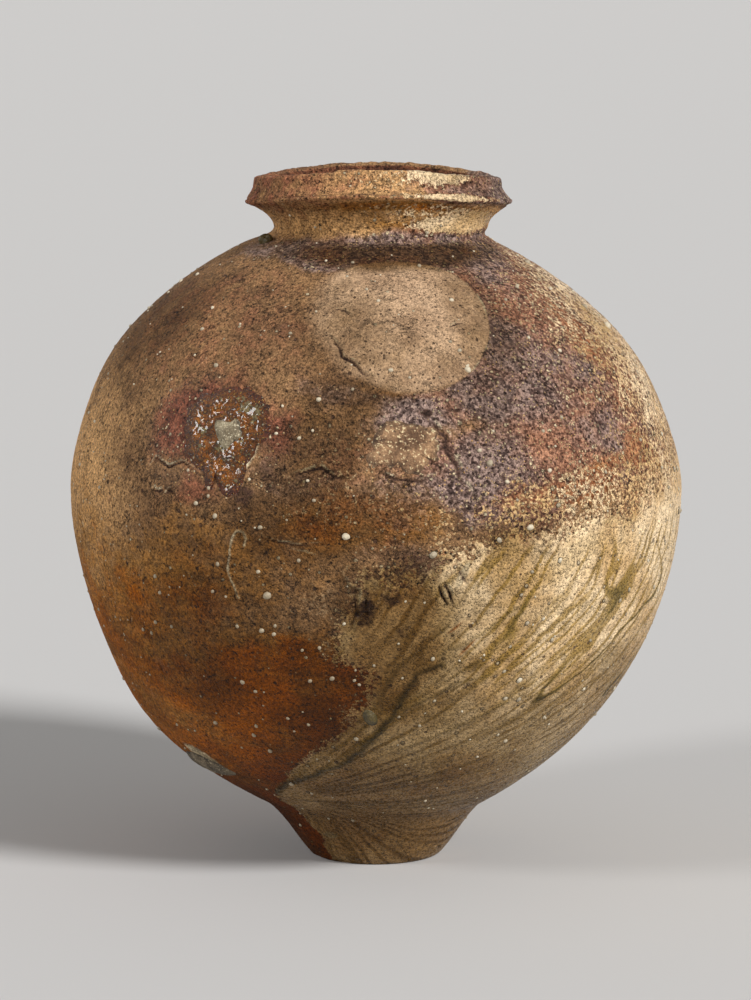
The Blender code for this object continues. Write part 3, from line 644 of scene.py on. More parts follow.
    scratches: tuple[Stroke, ...] = (
        Stroke(((-25.5, 0.2605), (-26.8, 0.272), (-27.1, 0.2782), (-26.6, 0.2897), (-26.1, 0.2987),
                (-25.1, 0.3032), (-23.7, 0.3029), (-23.2, 0.2984), (-23.6, 0.2945)),
               0.0009, 0.75, -0.0009, wander=0.0009, blunt=True),
        Stroke(((-7.8, 0.3161), (-3.5, 0.3164)), 0.0005, 0.5, -0.0003),
        Stroke(((11.5, 0.273), (12.5, 0.2645), (13.6, 0.2566)), 0.0007, 0.9, -0.0006, wander=0.0012),
        Stroke(((-15, 0.2942), (-12.4, 0.2932), (-10, 0.2907)), 0.0008, 0.7, -0.0005),
    )
    runs_of_glass: tuple[Stroke, ...] = (
        Stroke(((12.5, 0.2175), (8.3, 0.211), (5, 0.1884), (0.6, 0.1624), (-7.2, 0.135), (-17.5, 0.1183),
                (-29.8, 0.101), (-37, 0.085)),
               0.0034, 0.95, -0.0007, wander=0.0022, blunt=True),
        Stroke(((33, 0.27), (24, 0.248), (15, 0.228), (8.3, 0.211)), 0.0028, 0.6, -0.0004, wander=0.0026),
        Stroke(((11.9, 0.2352), (4.6, 0.2182), (1.8, 0.1995), (-0.9, 0.1783)),
               0.0034, 0.7, -0.0004, wander=0.0022),
        Stroke(((29.2, 0.2134), (16.4, 0.2033), (6.7, 0.1849), (3.1, 0.1742), (-3.1, 0.153)),
               0.0022, 0.66, -0.0004, wander=0.0016),
        Stroke(((39.7, 0.2068), (29.4, 0.1853), (20.6, 0.171), (7.6, 0.1506), (-6.7, 0.1273)),
               0.002, 0.62, -0.0004, wander=0.0016),
        Stroke(((-36.5, 0.08), (-26, 0.079), (-12, 0.083)), 0.0018, 0.75, -0.0003, wander=0.001),
    )
    soft_runs: tuple[Stroke, ...] = (
        Stroke(((45, 0.2637), (37.4, 0.2467), (30.9, 0.2262), (25, 0.2092)), 0.0026, 1, wander=0.0022),
        Stroke(((51.2, 0.2508), (44.5, 0.2241), (37.9, 0.1998), (30, 0.179)), 0.0026, 1, wander=0.0022),
        Stroke(((36.2, 0.1395), (14.9, 0.1166), (5.2, 0.1055), (-15.8, 0.0878)),
               0.0022, 1, wander=0.0016),
    )
    embers: tuple[Stroke, ...] = (
        Stroke(((15.9, 0.247), (13.1, 0.2387)), 0.0008, 1),
        Stroke(((19, 0.2356), (15.8, 0.2234)), 0.001, 1),
    )

    def _zones(self, chart: Chart, zones: Iterable[Zone], seed: int) -> Array:
        """What is left bare by no zone: 1 less the product of what each leaves bare."""
        bare = np.ones(chart.run.shape)
        for number, zone in enumerate(zones):
            bare = bare * (1.0 - zone.cover(chart, seed + 3 * number))
        return 1.0 - bare

    def disc(self, chart: Chart) -> Array:
        """The round mark of a pot that stood on the shoulder: crisp on its right, soft on its left."""
        across, up = chart.off(self.disc_bearing, self.disc_run)
        distance = np.hypot(across, up) + 0.0008 * chart.noise(0.012, 61, 2)
        left, low = -across / self.disc_radius, -up / self.disc_radius
        soft = 0.0012 + 0.02 * eased(left - 0.25) + 0.008 * eased(low - 0.5)
        return eased((self.disc_radius - distance) / soft + 0.5)

    def _lines(self, angle: Array, reach: Array, fall: Array, cell: float, half: float, seed: int) -> Array:
        """Wandering lines of one width down the fall.

        A line lies where noise of the angle is nought. That noise over its slope from one angle to
        the next is the distance from the line, in metres.

        Args:
            angle: each place's angle round the direction that was down.
            reach: its distance from the line through the centre that way.
            fall: how far down it lies.
            cell: width of the noise's cells, in radians.
            half: half a line's width, in metres.
            seed: which noise it is.

        Returns:
            1 on a line, easing to 0 at two half widths from it.
        """
        step, down = 0.2 * cell, fall * cell / self.run_length
        here, beside = (
            lattice_noise(np.stack([np.cos(turn), np.sin(turn), down], axis=-1), cell, seed)
            for turn in (angle, angle + step)
        )
        reach = np.maximum(reach, 0.01)
        slope = np.maximum(np.abs(beside - here) / (step * reach), 0.45 / (cell * reach))
        return eased(1.0 - 0.5 * np.abs(here) / slope / half)

    def rivulets(self, chart: Chart, glaze: Array) -> tuple[Array, Array]:
        """(soft streaks, deep runs) of melted ash. They spiral in on the direction that was down in
        the kiln: their angle round it changes by the twist for each metre of distance from it."""
        down = np.array(self.fall) / np.linalg.norm(self.fall)
        across = np.cross(down, (0.0, 1.0, 0.0))
        across /= np.linalg.norm(across)
        beyond = np.cross(down, across)
        off = chart.point - np.array(self.fall_centre)
        sideways, away, fall = off @ across, off @ beyond, off @ down
        reach = np.hypot(sideways, away)
        angle = np.arctan2(away, sideways) + self.twist * reach
        angle = angle + 0.018 * chart.noise(0.03, 71, 2) + 0.008 * chart.noise(0.008, 79, 2)
        far = eased((reach - 0.115) / 0.06)
        near_lines = self._lines(angle, reach, fall, 0.052, 0.0014, 72)
        far_lines = self._lines(angle, reach, fall, 0.027, 0.0014, 73)
        soft = (1.0 - far) * near_lines + far * far_lines
        here_and_there = eased(chart.noise(0.04, 77, 2) * 2.0 + 0.25)
        deep = self._lines(angle, reach, fall, 0.11, 0.0012, 75) * here_and_there
        inside = glaze * eased(reach / 0.03 - 0.4)
        streak = np.maximum(soft * (0.55 + 0.45 * eased(chart.noise(0.026, 78, 2) + 0.6)), deep)
        low, lower = eased((0.31 - chart.run) / 0.03), eased((0.29 - chart.run) / 0.05)
        return streak * inside * low, deep * inside * lower

    def marks(self, chart: Chart) -> tuple[dict[Mark, Array], Array]:
        """Every mark on the skin, and the height that cracks, runs and scratches give it.

        Args:
            chart: the places to mark.

        Returns:
            The amount of each mark, and the heights in metres.
        """
        found = {mark: np.zeros(chart.run.shape) for mark in Mark}
        disc = self.disc(chart)
        below_front = self.front.cover(chart, 11)
        glaze = np.maximum(below_front, self._zones(chart, self.glaze, 101))
        for mark, zones, seed in (
            (Mark.FIRE, self.fire, 131), (Mark.BLUSH, self.blush, 171), (Mark.CRUST, self.crust, 211),
            (Mark.PALE, self.pale, 251), (Mark.SOOT, self.soot, 291), (Mark.GLOSS, self.gloss, 331),
            (Mark.SMOKE, self.smoke_and_shade, 571), (Mark.WASH, self.wash, 631),
        ):
            found[mark] = self._zones(chart, zones, seed)
        found[Mark.FIRE] *= 1.0 - disc
        found[Mark.BLUSH] *= 1.0 - disc
        found[Mark.CRUST] *= (1.0 - disc) * (1.0 - 0.8 * below_front)
        found[Mark.GLAZE], found[Mark.BALD] = glaze * (1.0 - disc), disc
        found[Mark.STREAK], found[Mark.RIVULET] = self.rivulets(chart, below_front)
        height = np.zeros(chart.run.shape)
        for mark, strokes, seed in (
            (Mark.RIVULET, self.runs_of_glass, 401), (Mark.STREAK, self.soft_runs, 641),
            (Mark.BLUSH, self.embers, 661), (Mark.SOOT, self.cracks, 431), (Mark.PALE, self.scratches, 521),
        ):
            for number, stroke in enumerate(strokes):
                height += stroke.lay(chart, seed + 3 * number, found, mark)
        across, up = chart.off(self.disc_bearing, self.disc_run)
        edge = bell(np.hypot(across, up) - self.disc_radius, 0.0008) * eased(across / self.disc_radius)
        edge = edge * eased(1.6 * chart.noise(0.012, 541, 2) + 0.35)
        found[Mark.PALE] = np.maximum(found[Mark.PALE], 0.8 * edge)
        return found, height

    def relief(self, chart: Chart, marks: dict[Mark, Array]) -> Array:
        """The skin's height over the shaped form, in metres.

        Hand pressure gives broad waves, and coils a shallow valley at each join. Crust and bare
        clay are grainy, the melted ash is smoother and stands on the clay, and its runs are raised.
        """
        broad = 0.00045 * chart.noise(0.055, 21, 2) + 0.00016 * chart.noise(0.014, 22, 2)
        grain = chart.noise(0.0042, 23, 2)
        crust, glaze = marks[Mark.CRUST], marks[Mark.GLAZE]
        coarse = 0.00024 + 0.00014 * crust - 0.0001 * glaze - 0.0001 * marks[Mark.FIRE]
        lumps = np.clip(chart.noise(0.0065, 25, 1) - 0.3, 0.0, 1.0)
        stand = 0.00025 * crust + 0.0003 * glaze + 0.00022 * marks[Mark.RIVULET]
        height = broad + coarse * grain + 0.0005 * lumps * (0.25 + crust) + stand
        height = height + 0.0004 * marks[Mark.PALE] * chart.noise(0.003, 27, 1)
        wander = 0.002 * chart.noise(0.03, 29, 1)
        for join in self.joins:
            height = height - 0.00022 * bell(chart.run - join + wander, 0.0028)
        return height * eased(chart.run / 0.006)


@dataclass
class Grid:
    """A closed surface as rows of places round the jar or round an outline.

    Rows either close on themselves, as round a ring of clay, or run from one pole to another.
    Columns always close. A column's direction crossed with a row's points outwards.
    """

    places: Array
    poles: bool = False
    normals: Optional[Array] = None
    marks: dict[str, Array] = field(default_factory=dict)

    def flat(self, values: Array) -> Array:
        """Values by vertex, with one for each pole where the grid has poles."""
        if not self.poles:
            return values.reshape(-1, *values.shape[2:])
        inner = values[1:-1].reshape(-1, *values.shape[2:])
        return np.concatenate([values[:1, :].mean(axis=1), inner, values[-1:, :].mean(axis=1)])

    def faces(self) -> tuple[Array, Array, Array]:
        """(corner vertices, first corner of each face, map places of each corner)."""
        rows, cols = self.places.shape[:2]
        column = np.arange(cols)
        beside = np.stack([column, column + 1, column + 1, column], axis=-1)
        row = np.arange(rows - 3 if self.poles else rows)[:, None, None] + np.array([0, 0, 1, 1])
        if not self.poles:
            corners = (row % rows * cols + beside % cols).reshape(-1)
            return corners, np.arange(0, len(corners), 4), self._spots(beside / cols, row / rows)
        quads = (1 + row * cols + beside % cols).reshape(-1)
        last, after = 1 + (rows - 3) * cols, (column + 1) % cols
        low_fan = np.stack([np.zeros_like(column), 1 + after, 1 + column], axis=-1)
        high_fan = np.stack([last + column, last + after, np.full_like(column, last + cols)], axis=-1)
        low_across = np.stack([column + 0.5, column + 1, column], axis=-1)
        high_across = np.stack([column, column + 1, column + 0.5], axis=-1)
        spots = np.concatenate([
            self._spots(beside / cols, (row + 1) / (rows - 1)),
            self._spots(low_across / cols, np.array([0, 1, 1]) / (rows - 1)),
            self._spots(high_across / cols, np.array([rows - 2, rows - 2, rows - 1]) / (rows - 1)),
        ])
        fans = np.concatenate([low_fan.reshape(-1), high_fan.reshape(-1)])
        starts = np.concatenate([np.arange(0, len(quads), 4), len(quads) + np.arange(0, len(fans), 3)])
        return np.concatenate([quads, fans]), starts, spots

    @staticmethod
    def _spots(across: Array, up: Array) -> Array:
        """Map places, one a row, from their two shares."""
        return np.stack(np.broadcast_arrays(across, up), axis=-1).reshape(-1, 2)


def mesh_of(name: str, grids: Sequence[Grid], mapped: bool = False) -> bpy.types.Mesh:
    """One smooth mesh of several closed grids, with their marks and normals.

    Args:
        name: the mesh's name.
        grids: the grids, all with the same marks. Only a grid by itself may have normals or a map.
        mapped: whether it gets a map for baking.

    Returns:
        The mesh.
    """
    made = bpy.data.meshes.new(name)
    flats = [grid.flat(grid.places) for grid in grids]
    corner_sets, start_sets, spot_sets = zip(*(grid.faces() for grid in grids))
    first_vertices = np.cumsum([0] + [len(flat) for flat in flats])
    first_corners = np.cumsum([0] + [len(corners) for corners in corner_sets])
    places = np.concatenate(flats)
    corners = np.concatenate([found + first for found, first in zip(corner_sets, first_vertices)])
    starts = np.concatenate([found + first for found, first in zip(start_sets, first_corners)])
    made.vertices.add(len(places))
    made.vertices.foreach_set("co", places.astype(np.float32).ravel())
    made.loops.add(len(corners))
    made.loops.foreach_set("vertex_index", corners.astype(np.int32))
    made.polygons.add(len(starts))
    made.polygons.foreach_set("loop_start", starts.astype(np.int32))
    made.update(calc_edges=True)
    made.shade_smooth()
    if mapped:
        layer = made.uv_layers.new(name="OFBake")
        layer.uv.foreach_set("vector", (0.004 + 0.992 * spot_sets[0]).astype(np.float32).ravel())
    for mark in grids[0].marks:
        held = made.attributes.new(mark, "FLOAT", "POINT")
        values = np.concatenate([grid.flat(grid.marks[mark]) for grid in grids])
        held.data.foreach_set("value", values.astype(np.float32))
    if grids[0].normals is not None:
        normals = grids[0].flat(grids[0].normals)
        made.normals_split_custom_set_from_vertices(normals.astype(np.float32))
    return made


def grid_normals(places: Array) -> Array:
    """Unit normals of a grid whose columns close: the cross of each place's differences along its
    row and across the rows, taken between both neighbours."""
    along = np.roll(places, -1, axis=1) - np.roll(places, 1, axis=1)
    across = np.gradient(places, axis=0)
    normals = np.cross(along, across)
    return normals / np.maximum(np.linalg.norm(normals, axis=-1, keepdims=True), 1e-12)


def in_scene(name: str, data: bpy.types.ID) -> bpy.types.Object:
    """A new object of some data, in the scene."""
    made = bpy.data.objects.new(name, data)
    bpy.context.scene.collection.objects.link(made)
    return made


def add_piece(mesh: bpy.types.Mesh, material: bpy.types.Material, slot: str, *nodes: str) -> None:
    """Puts a finished mesh into the scene as a piece of the jar.

    Args:
        mesh: the piece's mesh, in place.
        material: its finish.
        slot: the record's material slot of the piece; not used.
        nodes: the CAD nodes that it stands for.
    """
    piece = in_scene(mesh.name, mesh)
    mesh.materials.append(material)
    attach(piece, BODY)
    if nodes:
        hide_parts(*nodes)
    LOG.info("%s: %d faces, stands for %s", piece.name, len(mesh.polygons), ", ".join(nodes) or "no node")


@dataclass
class Body:
    """The jar's clay: its columns of places, the rings of its courses and its slab."""

    form: JarForm
    kiln: KilnMap
    columns: int = 920
    front_columns: int = 640
    front_reach: float = 88.0

    def bearings(self) -> Array:
        """Bearings of the columns, closer together on the front than on the back."""
        front = np.linspace(-self.front_reach, self.front_reach, self.front_columns, endpoint=False)
        back = np.linspace(
            self.front_reach, 360.0 - self.front_reach, self.columns - self.front_columns, endpoint=False
        )
        return np.concatenate([front, back])

    def skin(self, runs: Array, bearings: Array) -> tuple[Array, dict[Mark, Array]]:
        """Places and marks of the outer skin at every pair of a run and a bearing."""
        chart = Chart.on_skin(self.form, bearings[None, :], runs[:, None])
        marks, cut = self.kiln.marks(chart)
        height = cut + self.kiln.relief(chart, marks)
        return self.form.place(chart.bearing, chart.run, -height), marks

    def height(self, bearing: Array, run: Array) -> Array:
        """How far the finished skin stands over the shaped form at some places."""
        chart = Chart.on_skin(self.form, bearing, run)
        marks, cut = self.kiln.marks(chart)
        return cut + self.kiln.relief(chart, marks)

    def lining(self, runs: Array, bearings: Array) -> Array:
        """Places of the inner surface: the wall's depth, with pressed coils and finger marks."""
        bare = self.form.place(bearings[None, :], runs[:, None], self.form.wall)
        dents = 0.0006 * lattice_noise(bare, 0.04, 81, 2) + 0.0004 * np.sin(runs / 0.0035)[:, None]
        return self.form.place(bearings[None, :], runs[:, None], self.form.wall + dents)


def with_clay(marks: dict[Mark, Array], before: int, after: int) -> dict[str, Array]:
    """The skin's marks, with rows of bare clay before them and rows of inner clay after them."""
    held = {}
    for mark, amount in marks.items():
        below = np.zeros((before, amount.shape[1]))
        behind = np.full((after, amount.shape[1]), float(mark is Mark.INSIDE))
        held[mark.value] = np.concatenate([below, amount, behind])
    return held


@dataclass
class ClayCourse:
    """One coil of clay, raised into a ring whose outer skin runs from one edge to the next.

    Its section goes up the outer skin, slants in along the upper scarf, comes down the lining and
    slants out again along the lower scarf, so the inner edges lie one lap lower than the outer.
    """

    name: str
    node: str
    slot: str
    low: float
    high: float
    skin_rows: int
    lining_rows: int
    inner_low: float
    inner_high: float
    scarf_gap: float = 0.0003

    def build(self, body: Body) -> Grid:
        """The course as a closed grid with its marks.

        Args:
            body: the form, the kiln's marks and the columns.

        Returns:
            The grid, with rows round the section and columns round the jar.
        """
        bearings = body.bearings()
        step = (self.high - self.low) / (self.skin_rows - 1)
        runs = self.low + step * np.arange(-1, self.skin_rows + 1)
        places, marks = body.skin(runs, bearings)
        normals = grid_normals(places)
        lining_runs = np.linspace(self.inner_high, self.inner_low, self.lining_rows)
        lining = body.lining(lining_runs, bearings)
        upper = self._scarf(places[-2], lining[0], -1.0)
        lower = self._scarf(places[1], lining[-1], 1.0)[::-1]
        rows = np.concatenate([places[1:-1], upper, lining, lower])
        all_normals = grid_normals(rows)
        all_normals[: self.skin_rows] = normals[1:-1]
        skin_marks = {mark: amount[1:-1] for mark, amount in marks.items()}
        return Grid(rows, normals=all_normals, marks=with_clay(skin_marks, 0, len(rows) - self.skin_rows))

    def _scarf(self, outer: Array, inner: Array, side: float) -> Array:
        """Two rows across a slanted face, set back by half the gap between two courses."""
        shares = np.array([0.12, 0.55])[:, None, None]
        rows = outer + (inner - outer) * shares
        rows[..., 2] += 0.5 * side * self.scarf_gap
        return rows


@dataclass
class FloorSlab:
    """The disc of clay that the jar was started from. Its edge is the lowest part of the foot.

    The section goes from the middle of the underside out to the foot's edge, up the skin, in along
    the sloping seat of the first coil, and over the flat floor to its middle.
    """

    name: str = "started_slab"
    node: str = "floor_slab"
    slot: str = "foot_clay"
    skin_rows: int = 15
    under_rows: int = 24
    floor_rows: int = 10
    chips: float = 0.0011

    def build(self, body: Body, edge_run: float) -> Grid:
        """The slab as a grid from pole to pole.

        Args:
            body: the form, the kiln's marks and the columns.
            edge_run: the run at which the slab's skin meets the first coil.

        Returns:
            The grid, with its marks.
        """
        form, bearings = body.form, body.bearings()
        runs = np.linspace(0.0, edge_run, self.skin_rows)
        skin, marks = body.skin(runs, bearings)
        rim = form.foot_radius - 0.0006
        under = form.turned(bearings[None, :], np.linspace(0.0, rim, self.under_rows)[:, None], 0.0)
        dents = np.clip(lattice_noise(under, 0.011, 83, 2) + 0.15, 0.0, 1.0)
        toward_rim = eased((rim - np.hypot(under[..., 0], under[..., 1])) / 0.004)
        under[..., 2] += 0.0007 * dents * toward_rim + 0.0002
        skin[0, :, 2] += 0.0005
        bitten = np.clip(lattice_noise(skin, 0.016, 85, 2) - 0.1, 0.0, 1.0)
        near_edge = bell(runs, 0.0055)[:, None]
        skin[..., :2] *= (1.0 - self.chips / form.foot_radius * 3.0 * bitten * near_edge)[..., None]
        flat = float(form.at(np.array(form.run_at_height(form.floor_thickness, form.wall)), form.wall)[0])
        seat_height = form.floor_thickness - np.array([0.5 * form.seat_drop, 0.0])
        seat_radius = np.array([0.5 * (flat + float(form.at(np.array(edge_run))[0])), flat])
        seat = form.turned(bearings[None, :], seat_radius[:, None], seat_height[:, None])
        floor_radius = np.linspace(flat, 0.0, self.floor_rows + 1)[1:]
        floor = form.turned(bearings[None, :], floor_radius[:, None], form.floor_thickness)
        places = np.concatenate([under, skin, seat, floor])
        return Grid(places, poles=True, marks=with_clay(marks, self.under_rows, len(seat) + len(floor)))


@dataclass
class RimBand:
    """The strip of clay round the mouth: a torn flange under an upright band with a rounded lip.

    The section is a path through a few knots, sampled by its length and rounded by averaging
    each place with its neighbours. It is then moved along its normals: broad and fine noise
    everywhere, bites out of the flange's nose, a groove at the foot of the band, and a lip that
    stands higher over the middle of the front.
    """

    name: str = "torn_rim"
    node: str = "rim_band"
    slot: str = "rim_clay"
    flange_overhang: float = 0.0047
    flange_rise: float = 0.0018
    flange_nose: float = 0.0006
    step_rise: float = 0.0036
    step_overhang: float = 0.003
    lip_set_back: float = 0.0058
    lip_rounding: float = 0.0036
    lip_thickness: float = 0.009
    outer_rows: int = 66
    inner_rows: int = 18
    bite: float = 0.002
    groove: float = 0.0009
    high_lip: float = 0.0012
    high_lip_bearings: Spot = (-20.0, 25.0)

    def _knots(self, form: JarForm) -> tuple[Array, Array, int]:
        """(outer knots, inner knots, number of the knot at the flange's nose)."""
        radius, height = form.flare_end
        edge = radius + self.flange_overhang
        edge_low = height + self.flange_rise
        edge_high = edge_low + form.flange_thickness
        lip, top, curl = edge - self.lip_set_back, edge_high + form.lip_rise, self.lip_rounding
        middle = 0.5 * (edge_low + edge_high)
        outer = [
            (radius, height),
            (edge - self.flange_nose, edge_low),
            (edge + 0.3 * self.flange_nose, middle),
            (edge, edge_high),
            (lip + self.step_overhang, edge_high + self.step_rise),
            (lip + 0.2 * self.step_overhang, 0.5 * (top + edge_high)),
            (lip, top - 0.65 * curl),
            (lip - 0.2 * curl, top - 0.2 * curl),
            (lip - curl, top),
        ]
        seam = form.at(np.array(form.length - form.lap), form.wall)
        bore = lip - self.lip_thickness
        inner = [
            (bore + 0.35 * curl, top - 0.2 * curl),
            (bore, top - curl),
            (0.5 * (bore + float(seam[0])), 0.5 * (top - curl + float(seam[1]))),
            (float(seam[0]), float(seam[1])),
        ]
        return np.array(outer), np.array(inner), 2

    def build(self, body: Body) -> Grid:
        """The band as a closed grid with its marks.

        Args:
            body: the form, the kiln's marks and the columns.

        Returns:
            The grid.
        """
        form, bearings = body.form, body.bearings()
        outer, inner, nose = self._knots(form)
        steps = lengths_along(outer)
        along = np.linspace(0.0, steps[-1], self.outer_rows)
        section = np.concatenate([sampled(outer, self.outer_rows), sampled(inner, self.inner_rows)])
        for _ in range(3):
            section[1:-1] = 0.25 * section[:-2] + 0.5 * section[1:-1] + 0.25 * section[2:]
        scarf = section[-1] + (section[0] - section[-1]) * np.array([[0.3], [0.7]])
        section = np.concatenate([section, scarf])
        places = form.turned(bearings[None, :], section[:, 0][:, None], section[:, 1][:, None])
        normals = grid_normals(places)
        ramp = np.zeros(len(section))
        ramp[: self.outer_rows] = along
        ramp[self.outer_rows :] = along[-1] + 0.004
        live = np.ones(len(section))
        live[0], live[-2:] = 0.0, 0.0
        bearing = np.broadcast_to(bearings[None, :], places.shape[:2])
        off_nose, off_groove = (ramp - steps[nose])[:, None], (ramp - steps[nose + 1] - 0.0006)[:, None]
        rise = self._moved(bearing, places, off_nose, off_groove) * live[:, None]
        at_lip = bell(ramp - steps[-1], 0.006)[:, None] * live[:, None]
        low, high = self.high_lip_bearings
        over = eased((bearings - low) / 3.0 + 0.5) * eased((high - bearings) / 12.0 + 0.5)
        places = places + normals * rise[..., None]
        uneven = 0.0007 * lattice_noise(places, 0.017, 95, 2)
        places[..., 2] += at_lip * (self.high_lip * over[None, :] + uneven)
        chart = Chart(form, bearing, form.length + ramp[:, None] + 0.0 * bearing, places)
        marks, _ = body.kiln.marks(chart)
        groove = bell(off_groove, 0.0007) * eased(0.6 + 0.9 * chart.noise(0.014, 96, 2))
        nose_line = bell(off_nose, 0.0022) * eased(0.5 + 0.9 * chart.noise(0.008, 98, 2))
        # The groove at the foot of the band is darkened, more on the left: painted shade in the groove.
        marks[Mark.SOOT] = np.maximum(marks[Mark.SOOT], groove * (0.35 + 0.45 * eased(-bearing / 40.0 + 0.6)))
        marks[Mark.BLUSH] = np.maximum(marks[Mark.BLUSH], 0.75 * nose_line)
        inside_share = np.zeros(len(section))
        inside_share[self.outer_rows + 2 :] = 1.0
        marks[Mark.INSIDE] = np.broadcast_to(inside_share[:, None], bearing.shape).copy()
        held = {mark.value: amount for mark, amount in marks.items()}
        return Grid(places, normals=grid_normals(places), marks=held)

    def _moved(self, bearing: Array, places: Array, off_nose: Array, off_groove: Array) -> Array:
        """How far each place moves along its normal, by its distance from the nose and the groove."""
        rough = 0.0006 * lattice_noise(places, 0.012, 91, 2) + 0.0005 * lattice_noise(places, 0.0042, 92, 2)
        rough = rough + 0.00024 * lattice_noise(places, 0.0018, 93, 1)
        torn = np.clip(lattice_noise(places, 0.0075, 94, 2) - 0.12, 0.0, 1.0)
        ragged = lattice_noise(places, 0.0028, 97, 2)
        left = eased(-bearing / 40.0 + 0.8)
        move = rough + bell(off_nose, 0.002) * (0.0005 * ragged + 0.0003 - self.bite * torn)
        return move - self.groove * bell(off_groove, 0.0008) * (0.35 + 0.65 * left)


@dataclass(frozen=True)
class SkinPatch:
    """A thin body fused on the skin, with a drawn outline and a crowned top.

    A place on it is a share of the way from its centre to its outline. Its height is the edge's
    plus the rest of the thickness times one less that share to a power, with noise on it.
    """

    name: str
    node: str
    slot: str
    centre: Spot
    outline: Route
    thickness: float
    flatness: float
    roughness: float
    rough_size: float
    seed: int
    spokes: int = 144
    rings: int = 34
    sunk: float = 0.0009
    frayed: float = 0.1

    def build(self, body: Body) -> Grid:
        """The patch as a grid from its underside's middle to its top's middle.

        Args:
            body: gives the form and the skin's own height.

        Returns:
            The grid, with each place's share of the way in from the outline as a mark.
        """
        edge = smooth_loop(self.outline, self.spokes)
        share = np.concatenate([[0.0, 0.5], np.linspace(1.0, 0.0, self.rings) ** 0.8])
        upper = np.concatenate([[0.0, 0.0], np.ones(self.rings)])[:, None]
        spots = np.array(self.centre) + share[:, None, None] * (edge - np.array(self.centre))
        bearing, run = spots[..., 0], spots[..., 1]
        edge_noise = lattice_noise(body.form.place(bearing, run), 0.006, self.seed + 5, 2)[2:3]
        frayed = 1.0 + self.frayed * edge_noise
        bearing = self.centre[0] + (bearing - self.centre[0]) * frayed
        run = self.centre[1] + (run - self.centre[1]) * frayed
        skin = body.height(bearing, run)
        where = body.form.place(bearing, run, -skin)
        crown = 1.0 - share[:, None] ** self.flatness
        rough = self.roughness * lattice_noise(where, self.rough_size, self.seed, 3)
        top = crown * (self.thickness + rough) - 0.0002 * (1.0 - crown)
        height = upper * top - (1.0 - upper) * self.sunk
        places = body.form.place(bearing, run, -skin - height)
        inward = upper * (1.0 - share[:, None]) + 0.0 * bearing
        return Grid(places, poles=True, marks={"inward": inward})


@dataclass(frozen=True)
class Pebble:
    """A lump bedded in the skin: width, height along the skin, thickness, and the share sunk."""

    bearing: float
    run: float
    width: float
    length: float
    thickness: float
    sunk: float = 0.55
    rough: float = 0.1
    rough_size: float = 0.5
    ring: float = 0.0
    turn: float = 0.0
    tint: float = 0.5


@dataclass
class PebbleBed:
    """Builds pebbles on the jar's skin.

    Each is a ball of latitude rows and longitude columns, scaled to its three sizes and moved by
    noise. One with a ring has a low skirt of stained glass round it, marked by its own attribute.
    """

    body: Body

    def build(self, pebbles: Sequence[Pebble], columns: int, rows: int, seed: int) -> list[Grid]:
        """One grid for each pebble.

        Args:
            pebbles: the pebbles to build.
            columns: places round each.
            rows: places from each one's buried pole to its open one.
            seed: which noise shapes them.

        Returns:
            Their grids, with the marks "core" and "tint".
        """
        bearing, run = np.array([(p.bearing, p.run) for p in pebbles], dtype=float).T
        right, above, out = self.body.form.axes(bearing, run)
        centre = self.body.form.place(bearing, run, -self.body.height(bearing, run))
        grids = []
        for number, pebble in enumerate(pebbles):
            axes = (right[number], above[number], out[number])
            grids.append(self._one(pebble, axes, centre[number], (rows, columns), seed + number))
        return grids

    def _one(
        self, pebble: Pebble, axes: tuple[Array, ...], centre: Array,
        counts: tuple[int, int], seed: int,
    ) -> Grid:
        """The grid of one pebble on its three axes."""
        latitude = np.linspace(-0.5 * math.pi, 0.5 * math.pi, counts[0])[:, None]
        longitude = np.linspace(0.0, math.tau, counts[1], endpoint=False)
        round_axis = np.cos(latitude) * np.cos(longitude), np.cos(latitude) * np.sin(longitude)
        ball = np.stack([*round_axis, np.sin(latitude) + 0.0 * longitude], axis=-1)
        swell = 1.0 + pebble.rough * lattice_noise(ball + 3.0 * seed, pebble.rough_size, seed, 2)
        ball = ball * swell[..., None]
        core = np.ones(ball.shape[:2])
        if pebble.ring:
            level = 2.0 * pebble.sunk - 1.0
            skirt = eased((level + 0.35 - ball[..., 2]) / 0.25) * (ball[..., 2] > level - 0.45)
            reach = 1.0 + pebble.ring * skirt
            ball = ball * np.stack([reach, reach, np.ones_like(reach)], axis=-1)
            core = 1.0 - skirt
        lean = math.radians(pebble.turn)
        right = axes[0] * math.cos(lean) + axes[1] * math.sin(lean)
        above = axes[1] * math.cos(lean) - axes[0] * math.sin(lean)
        half = 0.5 * np.array([pebble.width, pebble.length, pebble.thickness])
        spots = ball * half
        lift = (0.5 - pebble.sunk) * pebble.thickness
        places = centre + spots[..., :1] * right + spots[..., 1:2] * above + (spots[..., 2:] + lift) * axes[2]
        tint = np.full(core.shape, pebble.tint)
        return Grid(places, poles=True, marks={"core": core, "tint": tint})


def tone_pair(*levels: float) -> Pair:
    """Two colours by their six screen values: the one at a pattern's low end, then at its high end."""
    return screen_colour(*levels[:3]), screen_colour(*levels[3:])


class Tone:
    """A number or a colour at each place of a surface, worked out by shader nodes.

    Arithmetic on tones writes a Math node for each step.
    """

    def __init__(self, book: "NodeBook", socket: bpy.types.NodeSocket) -> None:
        """Holds the socket that gives the tone, and the material that it is in."""
        self.book, self.socket = book, socket

    def __add__(self, other: object) -> "Tone":
        """The sum."""
        return self.book.math("ADD", self, other)

    def __sub__(self, other: object) -> "Tone":
        """What is left after taking the other away."""
        return self.book.math("SUBTRACT", self, other)

    def __rsub__(self, other: float) -> "Tone":
        """What is left of a plain number after taking this away."""
        return self.book.math("SUBTRACT", other, self)

    def __mul__(self, other: object) -> "Tone":
        """The product."""
        return self.book.math("MULTIPLY", self, other)

    def __abs__(self) -> "Tone":
        """The size without its sign."""
        return self.book.math("ABSOLUTE", self)

    __radd__, __rmul__ = __add__, __mul__


